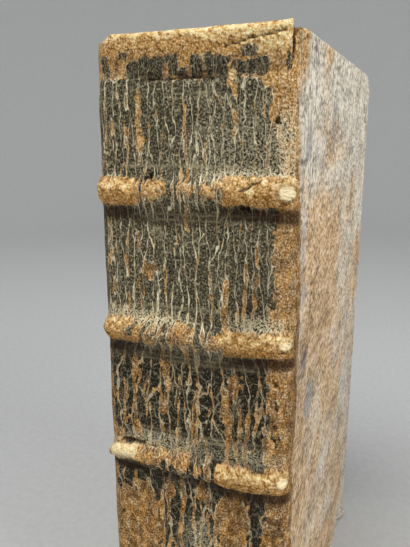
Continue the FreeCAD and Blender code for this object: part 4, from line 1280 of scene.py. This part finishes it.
class BOOK_OT_inner_parts(bpy.types.Operator):
    """Finishes the boards, pastedowns, cords, slips and endband cores"""
    bl_idname = "old_book.inner_parts"
    bl_label = "Finish the Inner Parts"

    def execute(self, context):
        nodes = frame["nodes"]
        put_on(paste_board(), nodes["front_board"], nodes["back_board"])
        paper = rag_paper("rag_paper_pastedown", "#d8c9a5", "#bfa97c", "#93723f")
        put_on(paper, nodes["front_pastedown"], nodes["back_pastedown"])
        cord = hemp("hemp_sewing_cord", "#d8c08d", "#8d6f40", 0.0011)
        put_on(cord, *[part for name, part in nodes.items() if "cord" in name or "slip" in name])
        core = hemp("hemp_endband_core", "#bfa779", "#7a6140", 0.0009)
        put_on(core, nodes["head_band"], nodes["tail_band"])
        return {"FINISHED"}


# The studio paper's bend from the floor to the wall and the wall's height, in metres; the camera's
# sensor in millimetres; and the lens fitted to the book's edges, in heights of the picture.
SWEEP_ROUND = 0.8
SWEEP_TOP = 2.6
SENSOR = 36.0
LENS = 578.0 / 547.0


class BOOK_OT_stage(bpy.types.Operator):
    """Sets the floor, backdrop, lamps and camera"""
    bl_idname = "old_book.stage"
    bl_label = "Set the Stage"

    def execute(self, context):
        scene = context.scene
        flat = scene.old_book_sizes.floor_size
        rise = SWEEP_ROUND
        profile = [(0.0, 0.0), (flat * 0.5, 0.0)]
        turns = np.linspace(0, math.pi / 2, 15)
        profile += [(flat + rise * math.sin(t), rise - rise * math.cos(t)) for t in turns]
        profile.append((flat + rise, SWEEP_TOP))
        count = 72
        points = [(r * math.sin(k * math.tau / count), r * math.cos(k * math.tau / count), z)
                  for r, z in profile[1:] for k in range(count)]
        faces = [list(reversed(range(count)))]
        for ring in range(len(profile) - 2):
            for k in range(count):
                a, b = ring * count + k, ring * count + (k + 1) % count
                faces.append((a, b, b + count, a + count))
        sweep = new_piece("studio_sweep", points, faces)
        sweep.data.polygons.foreach_set("use_smooth", np.ones(len(faces), bool))
        put_on(studio_paper("studio_paper", scene.old_book_colours.floor), sweep)

        world = bpy.data.worlds.new("studio_world")
        world.use_nodes = True
        world.node_tree.nodes["Background"].inputs["Color"].default_value = linear("#dfe2e6")
        world.node_tree.nodes["Background"].inputs["Strength"].default_value = 0.42
        scene.world = world
        # A wide soft lamp high in front, as overhead panels give, and a weak one from the right.
        for name, place, aim, size, power in (
            ("overhead_lamp", (-0.25, -0.55, 1.35), (0, -0.02, 0.10), 0.9, 15.5),
            ("side_lamp", (1.35, -0.45, 0.8), (0.03, 0, 0.12), 0.9, 15.0),
        ):
            lamp = bpy.data.lights.new(name, "AREA")
            lamp.shape = "SQUARE"
            lamp.size = size
            lamp.energy = power
            holder = link_new(name, lamp)
            holder.location = place
            holder.rotation_euler = (Vector(aim) - Vector(place)).to_track_quat("-Z", "Y").to_euler()

        # Seen a little above half height, from the front cover's side of the spine.
        camera = bpy.data.cameras.new("photo_view")
        camera.sensor_fit = "AUTO"
        camera.sensor_width = SENSOR
        camera.lens = SENSOR * LENS
        holder = link_new("photo_view", camera)
        holder.location = (0.0635, -0.2304, 0.21485)
        yaw, pitch, roll = (math.radians(n) for n in (-21.19, 14.0, -0.15))
        level = math.cos(pitch)
        forward = Vector((math.sin(yaw) * level, math.cos(yaw) * level, -math.sin(pitch)))
        turn = forward.to_track_quat("-Z", "Y").to_matrix().to_4x4()
        holder.rotation_mode = "QUATERNION"
        holder.rotation_quaternion = (turn @ Matrix.Rotation(roll, 4, "Z")).to_quaternion()
        scene.camera = holder
        scene.view_settings.view_transform = "Standard"
        return {"FINISHED"}


STEPS = (BOOK_OT_leather, BOOK_OT_leaves, BOOK_OT_endbands, BOOK_OT_inner_parts, BOOK_OT_stage)


class BOOK_PT_panel(bpy.types.Panel):
    """Lists the book's pieces, sizes and colours"""
    bl_idname = "BOOK_PT_panel"
    bl_label = "Antique Leather Book"
    bl_space_type = "VIEW_3D"
    bl_region_type = "UI"
    bl_category = "Old Book"

    def draw(self, context):
        for group in (context.scene.old_book_sizes, context.scene.old_book_colours):
            for name in group.__annotations__:
                self.layout.prop(group, name)
        for step in STEPS:
            self.layout.operator(step.bl_idname)


CLASSES = (BookSizes, BookColours, *STEPS, BOOK_PT_panel)


def register():
    """Adds the classes and the scene's sizes and colours."""
    for made in CLASSES:
        bpy.utils.register_class(made)
    bpy.types.Scene.old_book_sizes = bpy.props.PointerProperty(type=BookSizes)
    bpy.types.Scene.old_book_colours = bpy.props.PointerProperty(type=BookColours)


def unregister():
    """Takes them away again."""
    del bpy.types.Scene.old_book_colours
    del bpy.types.Scene.old_book_sizes
    for made in reversed(CLASSES):
        bpy.utils.unregister_class(made)


def main():
    """Makes the whole book by its operators, in order."""
    register()
    for step in STEPS:
        group, name = step.bl_idname.split(".")
        getattr(getattr(bpy.ops, group), name)()
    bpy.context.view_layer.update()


if __name__ == "__main__":
    main()
